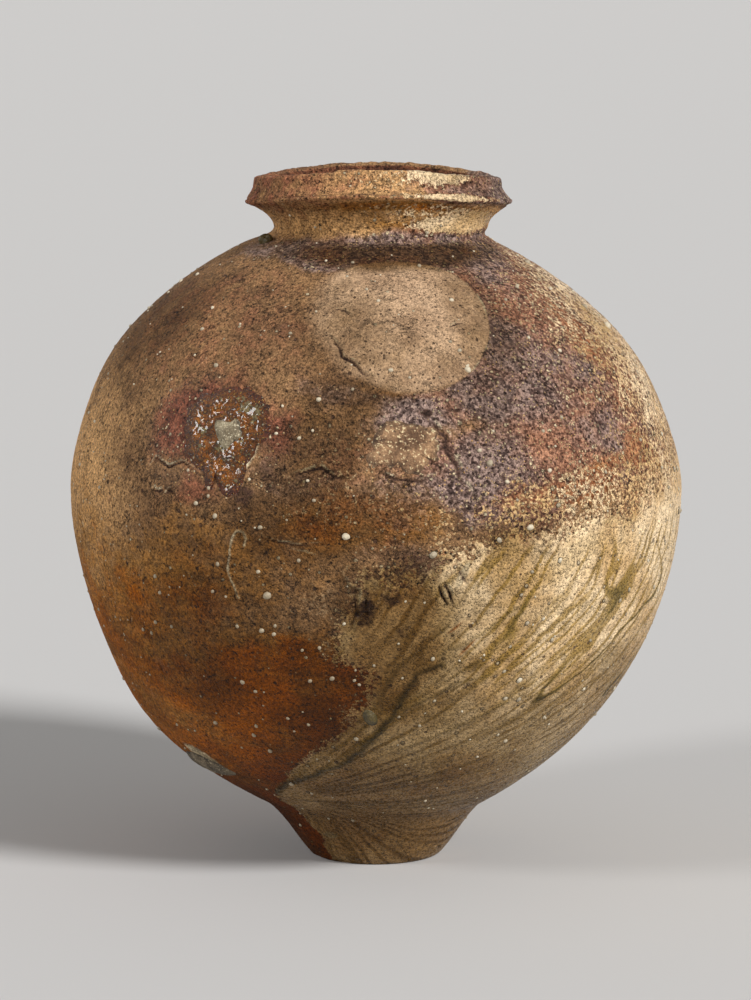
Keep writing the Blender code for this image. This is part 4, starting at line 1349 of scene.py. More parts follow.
class NodeBook:
    """Writes shader nodes into one material and joins them."""

    def __init__(self, name: str) -> None:
        """Starts an empty material with a surface shader."""
        self.material = bpy.data.materials.new(name)
        self.material.use_nodes = True
        self.tree = self.material.node_tree
        self.tree.nodes.clear()
        self.shader = self.tree.nodes.new("ShaderNodeBsdfPrincipled")
        output = self.tree.nodes.new("ShaderNodeOutputMaterial")
        self.tree.links.new(self.shader.outputs["BSDF"], output.inputs["Surface"])
        self.place = self._made("TexCoord", {}, "Object")

    def feed(self, socket: bpy.types.NodeSocket, value: object) -> None:
        """Links a socket to a tone, or gives it a plain value."""
        if isinstance(value, Tone):
            self.tree.links.new(value.socket, socket)
        else:
            socket.default_value = value

    def _node(self, kind: str, inputs: dict, **settings: object) -> bpy.types.Node:
        """A new node of a kind, with its settings made and its inputs fed."""
        node = self.tree.nodes.new("ShaderNode" + kind)
        for name, value in settings.items():
            setattr(node, name, value)
        for socket, value in inputs.items():
            self.feed(node.inputs[socket], value)
        return node

    def _made(self, kind: str, inputs: dict, output: int | str = 0, **settings: object) -> Tone:
        """The tone that one output of a new node gives."""
        return Tone(self, self._node(kind, inputs, **settings).outputs[output])

    def math(self, operation: str, first: object, second: object = 0.0) -> Tone:
        """A sum, product or other operation on numbers."""
        return self._made("Math", {0: first, 1: second}, operation=operation)

    def most(self, first: Tone, *others: Tone) -> Tone:
        """The greatest of several numbers."""
        for other in others:
            first = self.math("MAXIMUM", first, other)
        return first

    def stretched(self, across: float, deep: float, tall: float) -> Tone:
        """Object places scaled along the three axes."""
        return self._made("Mapping", {"Vector": self.place, "Scale": (across, deep, tall)})

    def noise(
        self, size: float, detail: float = 3.0, rough: float = 0.55,
        where: Optional[Tone] = None, warp: float = 0.0,
    ) -> Tone:
        """Noise from 0 to 1 whose lumps are about the given size in metres."""
        inputs = {"Vector": where or self.place, "Scale": 1.0 / size, "Detail": detail, "Roughness": rough}
        return self._made("TexNoise", inputs | {"Distortion": warp})

    def cells(self, size: float) -> tuple[Tone, Tone]:
        """(distance from the nearest seed in cell widths, that seed's random number)."""
        node = self._node("TexVoronoi", {"Vector": self.place, "Scale": 1.0 / size})
        chance = self._made("SeparateColor", {0: Tone(self, node.outputs["Color"])})
        return Tone(self, node.outputs["Distance"]), chance

    def mark(self, mark: Mark | str) -> Tone:
        """The amount of a mark on the surface."""
        name = mark.value if isinstance(mark, Mark) else mark
        return self._made("Attribute", {}, "Fac", attribute_name=name)

    def ramp(self, value: Tone, low: object, high: object) -> Tone:
        """0 below the low value, 1 above the high one and a smooth step between."""
        inputs = {"Value": value, "From Min": low, "From Max": high}
        return self._made("MapRange", inputs, interpolation_type="SMOOTHSTEP")

    def mix(self, share: Tone, low: object, high: object) -> Tone:
        """A blend of two colours."""
        return self._made("Mix", {0: share, 6: low, 7: high}, 2, data_type="RGBA")

    def tones(self, value: Tone, low: float, high: float, pair: Pair) -> Tone:
        """A blend of a pair of colours, by how far a value lies from low to high."""
        return self.mix(self.ramp(value, low, high), *pair)

    def tinted(self, share: Tone, colour: Tone, tint: Colour) -> Tone:
        """A colour multiplied by a tint, as far as a share says."""
        return self._made("Mix", {0: share, 6: colour, 7: tint}, 2, data_type="RGBA", blend_type="MULTIPLY")

    def blend(self, share: Tone, low: object, high: object) -> Tone:
        """A blend of two numbers."""
        return self._made("Mix", {0: share, 2: low, 3: high}, data_type="FLOAT")

    def shade(self, colour: Tone, factor: object) -> Tone:
        """A colour made lighter or darker by a factor."""
        return self._made("VectorMath", {0: colour, "Scale": factor}, operation="SCALE")

    def finish(self, colour: Tone, roughness: Tone, height: Tone, distance: float) -> bpy.types.Material:
        """Gives the shader its colour, its roughness and a bump of a height over a distance."""
        inputs = {"Strength": 1.0, "Distance": distance, "Height": height}
        normal = self._made("Bump", inputs, "Normal")
        for socket, value in (("Base Color", colour), ("Roughness", roughness), ("Normal", normal)):
            self.feed(self.shader.inputs[socket], value)
        return self.material


class Grit:
    """The noises that every layer of the skin shares, from broad clouds down to single grains."""

    def __init__(self, book: NodeBook) -> None:
        """Writes the noises into a material."""
        self.broad = book.noise(0.06, 3.0, 0.6)
        self.rusty = book.noise(0.034, 4.0, 0.65, book.stretched(0.8, 0.8, 1.3))
        self.medium = book.noise(0.011, 4.0, 0.6)
        self.fine = book.noise(0.0027, 3.0, 0.65)
        self.finest = book.noise(0.00125, 2.0, 0.7)
        self.pepper = book.noise(0.0021, 2.0, 0.6, book.stretched(1.1, 1.1, 1.4))
        self.turning = book.noise(0.03, 4.0, 0.65, book.stretched(1.0, 1.0, 7.0))
        self.wiped = book.noise(0.01, 3.0, 0.6, book.stretched(4.0, 4.0, 1.0))
        sand_far, self.sand = book.cells(0.0017)
        gravel_far, self.gravel = book.cells(0.004)
        self.sand_dome = 1.0 - book.ramp(sand_far + 0.8 * (self.finest - 0.5), 0.22, 0.5)
        self.gravel_dome = 1.0 - book.ramp(gravel_far + 0.7 * (self.fine - 0.5), 0.17, 0.32)


@dataclass(frozen=True)
class KilnSkin:
    """Fired clay under the marks of the kiln. Every course shares it, so that colours run on.

    Each layer covers the ones before it by its mark, broken up by noise: bare clay, the flame's
    ochre and orange, red blush, ash crust with cream crumbs, each in a dark ring that is partly
    painted shadow, cream glass with its runs, the bald disc, pale scabs, dark pores and cracks,
    and inside the jar a dull brown clay. Pale flecks on the glossy halo are painted glints, and
    smoke stains with painted shade darken the skin, most on the foot and low body.
    """

    name: str
    clay: Pair = tone_pair(122, 90, 62, 172, 132, 90)
    wash: Colour = screen_colour(236, 184, 124)
    ochre: Pair = tone_pair(126, 86, 36, 176, 122, 56)
    fire: Pair = tone_pair(120, 66, 4, 170, 92, 4)
    blush: Pair = tone_pair(98, 50, 38, 150, 92, 68)
    crust: Pair = tone_pair(88, 68, 62, 166, 140, 128)
    rust: Pair = tone_pair(130, 84, 60, 190, 132, 96)
    orange: Pair = tone_pair(148, 92, 58, 220, 156, 106)
    crumbs: Pair = tone_pair(200, 152, 94, 228, 206, 168)
    glaze: Pair = tone_pair(212, 174, 122, 248, 218, 174)
    olive: Colour = screen_colour(152, 118, 44)
    ember: Colour = screen_colour(190, 112, 36)
    ring_brown: Colour = screen_colour(128, 74, 46)
    disc: Pair = tone_pair(216, 180, 144, 182, 148, 116)
    green: Pair = tone_pair(128, 104, 42, 72, 64, 26)
    # Tints of smoke stains and painted shade; the second deepens the colour where the mark is thickest.
    smoke_and_shade: Colour = (0.34, 0.29, 0.2, 1.0)
    deep_smoke_and_shade: Colour = (0.72, 0.62, 0.5, 1.0)
    pale: Colour = screen_colour(200, 184, 152)
    soot: Pair = tone_pair(84, 60, 50, 34, 25, 22)
    inner: Pair = tone_pair(80, 50, 38, 132, 84, 58)
    specular: float = 0.14
    bump: float = 0.0027

    def _cover(self, book: NodeBook, mark: Mark, grain: Tone, break_up: float, sharp: float) -> Tone:
        """A mark's amount with its edge broken by noise and drawn in."""
        return book.ramp(book.mark(mark) + break_up * (grain - 0.5), 0.5 - sharp, 0.5 + sharp)

    def _bare(self, book: NodeBook, grit: Grit) -> Tone:
        """Bare clay, the flame's colours on it and the blush."""
        tone = 0.5 * grit.turning + 0.5 * grit.medium
        cloud = 0.6 * grit.broad + 0.4 * tone
        washed = book.ramp(book.mark(Mark.WASH) + 0.5 * (grit.medium - 0.5), 0.0, 1.0)
        clay = book.mix(0.9 * washed, book.tones(cloud, 0.34, 0.66, self.clay), self.wash)
        amount = book.mark(Mark.FIRE)
        hot = book.ramp(amount + 1.5 * (grit.rusty - 0.5), 0.45, 1.05)
        ochre = book.tones(tone, 0.4, 0.62, self.ochre)
        flame = book.mix(hot, ochre, book.tones(cloud, 0.4, 0.6, self.fire))
        colour = book.mix(book.ramp(amount + 0.9 * (grit.medium - 0.5), 0.08, 0.85), clay, flame)
        blush = book.tones(grit.medium, 0.38, 0.62, self.blush)
        return book.mix(self._cover(book, Mark.BLUSH, grit.medium, 1.2, 0.48), colour, blush)

    def _crust(self, book: NodeBook, grit: Grit, colour: Tone, cover: Tone) -> Tone:
        """Ash crust: purple-brown, rusty in clouds, orange where the flame was."""
        tone = 0.45 * grit.fine + 0.25 * grit.medium + 0.3 * grit.sand
        purple, rust, orange = (book.tones(tone, 0.36, 0.64, p) for p in (self.crust, self.rust, self.orange))
        cloud = 0.6 * grit.broad + 0.4 * grit.rusty + 0.3 * book.mark(Mark.GLAZE)
        crust = book.mix(0.8 * book.ramp(cloud, 0.47, 0.66), purple, rust)
        hot = book.ramp(book.mark(Mark.FIRE) + 1.2 * (grit.rusty - 0.5), 0.25, 0.85)
        return book.mix(cover, colour, book.mix(0.85 * hot, crust, orange))

    def _glaze(self, book: NodeBook, grit: Grit, colour: Tone, cover: Tone) -> Tone:
        """Cream glass, olive and orange in clouds, with brown rings where it is thin."""
        mark = book.mark(Mark.GLAZE)
        streak = book.ramp(book.mark(Mark.STREAK) + 0.5 * (grit.fine - 0.5), 0.0, 0.85)
        olive = book.most(0.36 * book.ramp(grit.rusty, 0.44, 0.66), 0.8 * streak)
        glaze = book.mix(olive, book.tones(grit.broad, 0.4, 0.6, self.glaze), self.olive)
        glaze = book.mix(book.mark(Mark.BLUSH) * book.ramp(mark, 0.9, 0.99), glaze, self.ember)
        distance, chance = book.cells(0.0046)
        ring = 1.0 - book.ramp(abs(distance - (0.2 * chance + 0.28)), 0.03, 0.13)
        thin = 1.0 - book.ramp(mark, 0.55, 0.98)
        return book.mix(cover, colour, book.mix(0.8 * ring * thin, glaze, self.ring_brown))

    def _rivulets(self, book: NodeBook, grit: Grit, colour: Tone) -> Tone:
        """Deep olive runs in the cream glass."""
        amount = book.mark(Mark.RIVULET)
        edge = book.ramp(amount + 0.6 * (grit.fine - 0.5), 0.05, 1.0)
        green = book.tones(amount + 0.9 * (grit.medium - 0.5), 0.45, 1.1, self.green)
        return book.mix(0.85 * edge, colour, green)

    def _smoked_and_shaded(self, book: NodeBook, grit: Grit, colour: Tone, inside: Tone) -> Tone:
        """The colour darkened outside the jar by smoke stains and painted shade, and again where that mark is
        thickest.
        """
        amount = book.mark(Mark.SMOKE)
        share = book.ramp(amount + 0.5 * (grit.medium - 0.5), 0.0, 1.0) * (1.0 - inside)
        smoked_and_shaded = book.tinted(share, colour, self.smoke_and_shade)
        return book.tinted(book.ramp(amount, 0.86, 1.0), smoked_and_shaded, self.deep_smoke_and_shade)

    def material(self) -> bpy.types.Material:
        """The material, with colour, roughness and bump of every layer."""
        book = NodeBook(self.name)
        grit = Grit(book)
        bald, inside, glazed = book.mark(Mark.BALD), book.mark(Mark.INSIDE), book.mark(Mark.GLAZE)
        fire, gloss = book.mark(Mark.FIRE), book.mark(Mark.GLOSS)
        crusted = self._cover(book, Mark.CRUST, grit.medium, 1.3, 0.42)
        spread = glazed
        for grain, weight in ((grit.fine, 1.1), (grit.medium, 0.35), (grit.sand, 0.45), (grit.gravel, 0.15)):
            spread = spread + weight * (grain - 0.5)
        glass = book.ramp(spread, 0.38, 0.62)
        wet = book.most(0.25 * fire, glass)

        # The glossy halo strews pale crumbs too: painted glints standing in for its highlights.
        dry = book.most(crusted, glazed, 0.5 * book.ramp(gloss, 0.6, 1.0))
        level = 0.985 - dry * (0.6 * (grit.rusty - 0.5) + 0.17) - 0.5 * glazed
        few = book.ramp(grit.sand, level, level + 0.02)
        some = book.ramp(grit.gravel, level + 0.02, level + 0.03)
        crumbs = book.most(few * grit.sand_dome, some * grit.gravel_dome)
        colour = self._crust(book, grit, self._bare(book, grit), crusted)
        # The rest of each crumb's cell darkens round it: a dark ring that is partly painted shadow at the
        # crumb's foot.
        colour = book.mix(0.35 * book.most(few, some), colour, self.soot[0])
        colour = book.mix(crumbs, colour, book.mix(grit.gravel, *self.crumbs))
        colour = self._glaze(book, grit, colour, glass)
        colour = book.mix(bald, colour, book.tones(book.noise(0.03, 4.0, 0.6), 0.36, 0.64, self.disc))
        colour = self._rivulets(book, grit, colour)
        colour = book.mix(self._cover(book, Mark.PALE, grit.fine, 0.9, 0.4), colour, self.pale)

        distance, chance = book.cells(0.0085)
        reach = 0.17 * chance - 0.05
        speck = (1.0 - book.ramp(distance, reach, reach + 0.04)) * book.ramp(chance, 0.34, 0.36)
        colour = book.mix(0.85 * speck, colour, self.pale)
        past_ring = book.ramp(distance, reach + 0.07, reach + 0.13)
        ring = book.ramp(distance, reach + 0.02, reach + 0.05) - past_ring
        ring = ring * book.ramp(chance, 0.45, 0.47) * glass

        holes = book.math("LESS_THAN", grit.sand, 0.05) * grit.sand_dome
        pores = book.most(1.0 - book.ramp(grit.pepper, 0.3, 0.36), holes) * (1.0 - 0.6 * wet)
        wrinkle = 1.0 - book.ramp(abs(book.noise(0.0075, 3.0, 0.6, warp=0.8) - 0.5), 0.004, 0.034)
        wrinkle = wrinkle * book.ramp(book.noise(0.019, 2.0), 0.56, 0.64)
        wrinkle = wrinkle * (1.0 - 0.85 * book.most(glass, book.mark(Mark.WASH), 0.7 * bald, fire))
        distance, chance = book.cells(0.012)
        pit = (1.0 - book.ramp(distance, 0.1 * chance, 0.1 * chance + 0.04)) * book.ramp(chance, 0.55, 0.57)
        dark = book.most(0.75 * pores, 0.42 * wrinkle, 0.8 * pit, 0.75 * ring)
        colour = book.mix(dark, colour, self.soot[0])

        burnt = book.mark(Mark.SOOT) + 0.9 * (grit.fine - 0.5)
        colour = book.mix(book.ramp(burnt, 0.15, 0.75), colour, book.tones(burnt, 0.55, 1.0, self.soot))
        colour = book.mix(inside, colour, book.tones(grit.medium, 0.38, 0.62, self.inner))
        # Smoke stains and painted shade, darkest low on the body and on the foot.
        colour = self._smoked_and_shaded(book, grit, colour, inside)
        contrast = 2.2 - 1.05 * wet - 0.3 * crusted - 0.9 * bald
        grain = 0.3 * book.ramp(grit.fine, 0.3, 0.7) + 0.4 * book.ramp(grit.finest, 0.3, 0.7)
        dust = 1.0 + contrast * (grain + 0.3 * grit.sand - 0.5)
        colour = book.shade(colour, dust * (0.82 + 0.36 * grit.wiped))

        glassy = book.most(glass, gloss) * (1.0 - bald)
        rough = book.blend(glassy, 0.62 + 0.25 * grit.fine, 0.1 + 0.4 * grit.fine)
        rough = book.blend(book.most(inside, crumbs), rough, 0.85)
        height = 0.3 * grit.finest + 0.7 * grit.fine
        height = height + 0.35 * grit.sand * grit.sand_dome + 0.45 * grit.gravel * grit.gravel_dome
        height = height * (1.0 - 0.5 * wet)
        for bit, rise in ((crumbs, 0.45), (speck, 0.6), (pit, -0.9), (pores, -0.8), (wrinkle, -1.5)):
            height = height + rise * bit
        book.shader.inputs["Specular IOR Level"].default_value = self.specular
        return book.finish(colour, rough, height, self.bump)


@dataclass(frozen=True)
class AmberGlass:
    """Ash melted to a pool of amber glass, red-brown at its thin edge, with a dark net in it,
    olive and cream crumbs on it, and bright yellow flecks that are painted glints."""

    name: str = "amber_ash_glass"
    edge_red: Colour = screen_colour(104, 50, 24)
    glass: Pair = tone_pair(186, 106, 8, 84, 44, 6)
    net: Colour = screen_colour(54, 32, 18)
    olive: Colour = screen_colour(138, 126, 88)
    crumb: Colour = screen_colour(206, 192, 156)
    # Bright yellow flecks: painted glints standing in for highlights on the glass.
    painted_glint: Colour = screen_colour(238, 186, 84)
    specular: float = 0.2
    coat: float = 0.44
    coat_roughness: float = 0.06
    bump: float = 0.0036

    def material(self) -> bpy.types.Material:
        """The material, glossy, with its colour by the depth of the pool."""
        book = NodeBook(self.name)
        medium = book.noise(0.0075, 4.0, 0.65, warp=0.6)
        fine = book.noise(0.0024, 3.0, 0.65)
        finest = book.noise(0.0012, 2.0, 0.7)
        from_edge = book.mark("inward")
        inward = from_edge + 0.9 * (medium - 0.5) + 0.4 * (fine - 0.5)
        glass = book.tones(0.5 * fine + 0.5 * medium, 0.4, 0.6, self.glass)
        colour = book.mix(book.ramp(inward, 0.02, 0.24), self.edge_red, glass)
        net = 1.0 - book.ramp(abs(book.noise(0.0046, 4.0, 0.65, warp=0.5) - 0.5), 0.006, 0.045)
        colour = book.mix(0.95 * net, colour, self.net)
        scum = book.ramp(0.2 * from_edge + book.noise(0.013, 3.0, 0.6) + 0.4 * fine, 0.84, 0.9)
        colour = book.mix(0.8 * scum, colour, self.olive)
        far, chance = book.cells(0.003)
        crumbs = 1.0 - book.ramp(far + 0.6 * (finest - 0.5), 0.14, 0.26)
        crumbs = crumbs * book.ramp(chance, 0.76, 0.78)
        colour = book.mix(crumbs, colour, self.crumb)
        # Painted glints: bright yellow flecks where the finest noise is high.
        colour = book.mix(0.7 * book.ramp(finest, 0.62, 0.7), colour, self.painted_glint)
        colour = book.shade(colour, 0.6 + 0.8 * book.ramp(fine, 0.3, 0.7))
        dry = book.most(crumbs, scum)
        book.shader.inputs["Specular IOR Level"].default_value = self.specular
        book.shader.inputs["Coat Weight"].default_value = self.coat
        book.shader.inputs["Coat Roughness"].default_value = self.coat_roughness
        height = 0.7 * dry + 1.2 * fine + 1.4 * medium + 0.4 * finest
        return book.finish(colour, book.blend(dry, 0.1, 0.5), height, self.bump)


@dataclass(frozen=True)
class DryCrust:
    """A dry fired lump: a dark and a light clay tone, pale crumbs and dark pores."""

    name: str
    clay: Pair
    crumb: Colour
    pore: Colour
    grain: float = 0.0028
    crumb_size: float = 0.001
    crumb_level: float = 0.6
    roughness: float = 0.8
    bump: float = 0.0009
    edge: float = 0.0

    def material(self) -> bpy.types.Material:
        """The material, with colour, roughness and bump."""
        book = NodeBook(self.name)
        broad = book.noise(0.013, 4.0, 0.6)
        fine = book.noise(self.grain, 4.0, 0.65)
        finest = book.noise(self.crumb_size, 2.0, 0.7)
        colour = book.tones(broad, 0.38, 0.62, self.clay)
        colour = book.mix(book.ramp(finest, self.crumb_level, self.crumb_level + 0.06), colour, self.crumb)
        colour = book.mix(0.8 * (1.0 - book.ramp(fine, 0.3, 0.42)), colour, self.pore)
        if self.edge:
            inward = book.mark("inward") + self.edge * (fine - 0.5) + 2.0 * self.edge * (broad - 0.5)
            colour = book.mix(book.ramp(inward, 0.0, self.edge), book.shade(colour, 0.45), colour)
        colour = book.shade(colour, 0.7 + 0.6 * book.ramp(finest, 0.3, 0.7))
        return book.finish(colour, 0.2 * fine + (self.roughness - 0.1), fine + 0.3 * finest, self.bump)


@dataclass(frozen=True)
class FeldsparBead:
    """Half-melted feldspar: white to grey-beige by grain, with a stained skirt where it has one."""

    name: str = "melted_feldspar"
    bead: Pair = tone_pair(150, 134, 108, 222, 208, 180)
    stain: Colour = screen_colour(72, 58, 30)

    def material(self) -> bpy.types.Material:
        """The material, satin, with its skirt darker and glassier."""
        book = NodeBook(self.name)
        fine = book.noise(0.0011, 3.0, 0.6)
        skirt = 1.0 - book.ramp(book.mark("core"), 0.3, 0.7)
        colour = book.shade(book.mix(book.mark("tint"), *self.bead), 0.72 + 0.5 * fine)
        return book.finish(book.mix(skirt, colour, self.stain), book.blend(skirt, 0.42, 0.2), fine, 0.0004)


@dataclass
class KilnBits:
    """What lies on the skin: the glass pool, chips, flakes, the tear and the spur."""

    pool: SkinPatch = SkinPatch(
        "amber_pool", "amber_glass_pool", "amber_glass", (-29.3, 0.36),
        (
            (-32, 0.394), (-36, 0.3895), (-39, 0.382), (-39.5, 0.369), (-38, 0.351),
            (-35.5, 0.3415), (-33, 0.3375), (-32, 0.329), (-30.5, 0.3275), (-30.2, 0.335),
            (-28.8, 0.326), (-27, 0.3225), (-25.2, 0.3255), (-24, 0.334), (-23.2, 0.347),
            (-21.1, 0.357), (-19.8, 0.367), (-20, 0.3815), (-22.4, 0.3895), (-26.5, 0.3955),
        ),
        0.0009, 9, 0.0016, 0.0062, 601,
    )
    chip: SkinPatch = SkinPatch(
        "heart_chip", "clinker_chip", "clinker", (-28.9, 0.364),
        (
            (-28.6, 0.3708), (-30.3, 0.3722), (-31.9, 0.3712), (-31.6, 0.365), (-30.6, 0.359),
            (-28.2, 0.3518), (-27, 0.357), (-25.6, 0.3625), (-25.9, 0.369), (-27, 0.3735),
        ),
        0.0036, 5, 0.0012, 0.006, 611, 96, 24,
    )
    crust: SkinPatch = SkinPatch(
        "torn_crust", "crust_flake", "clay_crust", (5.6, 0.3575),
        (
            (6, 0.3745), (2.4, 0.3725), (0.4, 0.366), (-0.6, 0.356), (-2.2, 0.35), (-0.6, 0.345),
            (1.2, 0.3468), (2.9, 0.344), (4.2, 0.347), (5.6, 0.34), (8, 0.3405), (9.3, 0.3465),
            (10, 0.353), (11.4, 0.348), (12.6, 0.354), (12.3, 0.365), (10, 0.3715),
        ),
        0.0017, 2.2, 0.0016, 0.0048, 621, frayed=0.2,
    )
    scar: SkinPatch = SkinPatch(
        "wad_scar", "wad_scar_flake", "clinker", (-61, 0.1075),
        (
            (-60, 0.119), (-66, 0.118), (-71, 0.113), (-73, 0.105), (-69.5, 0.0985),
            (-64, 0.0975), (-58, 0.096), (-52.5, 0.0985), (-49, 0.104), (-51.5, 0.112), (-56, 0.115),
        ),
        0.0022, 4, 0.001, 0.007, 631,
    )
    tear: Pebble = Pebble(-1.1, 0.1767, 0.007, 0.011, 0.0063, rough=0.06, ring=0.25, turn=20.0)
    spur: Pebble = Pebble(-65.7, 0.5225, 0.0072, 0.009, 0.008, sunk=0.36, rough=0.34, rough_size=0.8)


@dataclass
class FeldsparGrains:
    """The feldspar in the clay: twelve large grains in their own sockets, and many small ones.

    The small ones are strewn evenly over the skin, by random draws kept in proportion to the
    radius, and a few stand where the real jar shows them.
    """

    large: tuple[Triple, ...] = (
        (-5.1, 0.2436, 0.005), (-19.7, 0.2045, 0.0056), (21.1, 0.2862, 0.0046), (78.6, 0.3552, 0.0056),
        (80, 0.3957, 0.005), (78.9, 0.2357, 0.0048), (27.9, 0.246, 0.0044), (10, 0.2321, 0.0044),
        (76.5, 0.3679, 0.0046), (20.5, 0.3413, 0.0046), (128, 0.198, 0.0054), (-150, 0.291, 0.0056),
    )
    seen: Route = (
        (-29.5, 0.3115), (-20.5, 0.3065), (-13.5, 0.287), (-26.5, 0.241), (-21.5, 0.2395), (-8.5, 0.2075),
        (-13, 0.205), (-10.5, 0.2295), (-28, 0.2), (-25.5, 0.1935), (-40, 0.1615), (-19.5, 0.173),
        (-15, 0.1685), (-44.5, 0.268), (-47, 0.236), (-49.5, 0.227), (-42.5, 0.235), (-27.5, 0.14),
        (-30, 0.1545), (-14, 0.363), (-35.5, 0.409), (-6.5, 0.5035), (23.5, 0.464), (20, 0.423),
        (4, 0.4095), (41, 0.461), (46.5, 0.4175), (51, 0.38), (60.5, 0.3495), (19.5, 0.3545),
        (33, 0.339), (22, 0.2985), (34.5, 0.2825), (52.5, 0.2485), (46, 0.224), (30, 0.2015),
    )
    strewn: int = 720
    least: float = 0.0013
    most: float = 0.0036
    seed: int = 41

    def large_pebbles(self, form: JarForm) -> list[Pebble]:
        """The twelve large grains at their sockets."""
        made = []
        for number, (bearing, height, width) in enumerate(self.large):
            run = form.run_at_height(height)
            in_glaze = -2.0 < bearing < 150.0 and run < 0.3
            made.append(Pebble(
                bearing, run, width, 0.85 * width, 0.9 * width, rough=0.16, rough_size=0.7,
                ring=0.35 if in_glaze else 0.0, turn=31.0 * number,
                tint=0.45 + 0.4 * math.sin(2.0 * number + 2.0),
            ))
        return made

    def small_pebbles(self, form: JarForm, kiln: KilnMap) -> list[Pebble]:
        """The many small grains: chosen ones first, then strewn ones."""
        draw = np.random.default_rng(self.seed)
        bearing = draw.uniform(-180.0, 180.0, 3 * self.strewn)
        run = draw.uniform(0.03, 0.548, 3 * self.strewn)
        kept = draw.uniform(0.0, form.belly_radius, 3 * self.strewn) < form.at(run)[0]
        bearing, run = bearing[kept][: self.strewn], run[kept][: self.strewn]
        width = self.least + (self.most - self.least) * draw.uniform(0.0, 1.0, len(run)) ** 2.6
        seen = np.array(self.seen)
        bearing = np.concatenate([seen[:, 0], bearing])
        run = np.concatenate([seen[:, 1], run])
        width = np.concatenate([draw.uniform(0.0026, 0.0038, len(seen)), width])
        chart = Chart.on_skin(form, bearing, run)
        marks, _ = kiln.marks(chart)
        tint, turn = draw.uniform(0.0, 1.0, len(run)), draw.uniform(0.0, 180.0, len(run))
        tint = tint * (1.0 - 0.9 * marks[Mark.FIRE])
        ringed = (marks[Mark.GLAZE] > 0.5) & (draw.uniform(0.0, 1.0, len(run)) < 0.65)
        sizes = (bearing, run, width, 0.85 * width, 0.75 * width)
        return [
            Pebble(*place, sunk=0.52, rough=0.12, rough_size=0.8, ring=0.5 * has_ring, turn=lean, tint=shade)
            for *place, has_ring, lean, shade in zip(*(v.tolist() for v in (*sizes, ringed, turn, tint)))
        ]


@dataclass
class Studio:
    """The camera that the photograph was taken with, as fitted to the jar's ellipses, a pale floor
    and two broad soft lights: the brighter one from the upper right, the other from the left."""

    camera_place: Triple = (0.0, -2.5, 0.6)
    camera_pitch: float = 8.265
    focal_mm: float = 137.36
    sensor_mm: float = 36.0
    floor_reach: float = 60.0
    floor_colour: Colour = (0.62, 0.61, 0.6, 1.0)
    sky_colour: Colour = (0.8, 0.79, 0.78, 1.0)
    key_turn: Triple = (57.0, 0.0, 48.0)
    key_strength: float = 3.1
    fill_turn: Triple = (62.0, 0.0, -62.0)
    fill_strength: float = 0.95
    softness: float = 13.0
    ambient: float = 0.3

    def build(self) -> None:
        """Makes camera, lights, floor and world."""
        lens = bpy.data.cameras.new("view")
        lens.lens = self.focal_mm
        lens.sensor_width = self.sensor_mm
        lens.sensor_fit = "AUTO"
        lens.clip_end = 200.0
        camera = in_scene("view", lens)
        camera.location = self.camera_place
        camera.rotation_euler = (math.radians(90.0 - self.camera_pitch), 0.0, 0.0)
        bpy.context.scene.camera = camera
        self._lamp("key", self.key_turn, self.key_strength)
        self._lamp("fill", self.fill_turn, self.fill_strength)
        self._floor()
        self._world()
        bpy.context.scene.view_settings.view_transform = "Standard"

    def _lamp(self, name: str, turn: Triple, strength: float) -> None:
        """A sun wide enough to be a soft light."""
        lamp = bpy.data.lights.new(name, "SUN")
        lamp.energy = strength
        lamp.angle = math.radians(self.softness)
        holder = in_scene(name, lamp)
        holder.rotation_euler = tuple(math.radians(v) for v in turn)
        holder.location = (0.0, 0.0, 2.0)

    def _floor(self) -> None:
        """A wide plain pale sheet under the jar."""
        reach = self.floor_reach
        mesh = bpy.data.meshes.new("studio_floor")
        corners = [(-reach, -reach, 0.0), (reach, -reach, 0.0), (reach, reach, 0.0), (-reach, reach, 0.0)]
        mesh.from_pydata(corners, [], [(0, 1, 2, 3)])
        floor = in_scene(mesh.name, mesh)
        book = NodeBook("pale_floor")
        book.shader.inputs["Base Color"].default_value = self.floor_colour
        book.shader.inputs["Roughness"].default_value = 0.9
        mesh.materials.append(book.material)

    def _world(self) -> None:
        """Even light from all round, which the camera and every reflection see as a pale backdrop."""
        world = bpy.data.worlds.new("studio")
        bpy.context.scene.world = world
        world.use_nodes = True
        tree = world.node_tree
        back = tree.nodes["Background"]
        back.inputs["Color"].default_value = self.sky_colour
        path = tree.nodes.new("ShaderNodeLightPath")
        seen = path.outputs["Is Camera Ray"]
        for kind in ("Is Glossy Ray", "Is Transmission Ray"):
            either = tree.nodes.new("ShaderNodeMath")
            either.operation = "MAXIMUM"
            tree.links.new(seen, either.inputs[0])
            tree.links.new(path.outputs[kind], either.inputs[1])
            seen = either.outputs[0]
        share = tree.nodes.new("ShaderNodeMix")
        share.data_type = "FLOAT"
        tree.links.new(seen, share.inputs[0])
        share.inputs[2].default_value = self.ambient
        share.inputs[3].default_value = 1.0
        tree.links.new(share.outputs[0], back.inputs["Strength"])


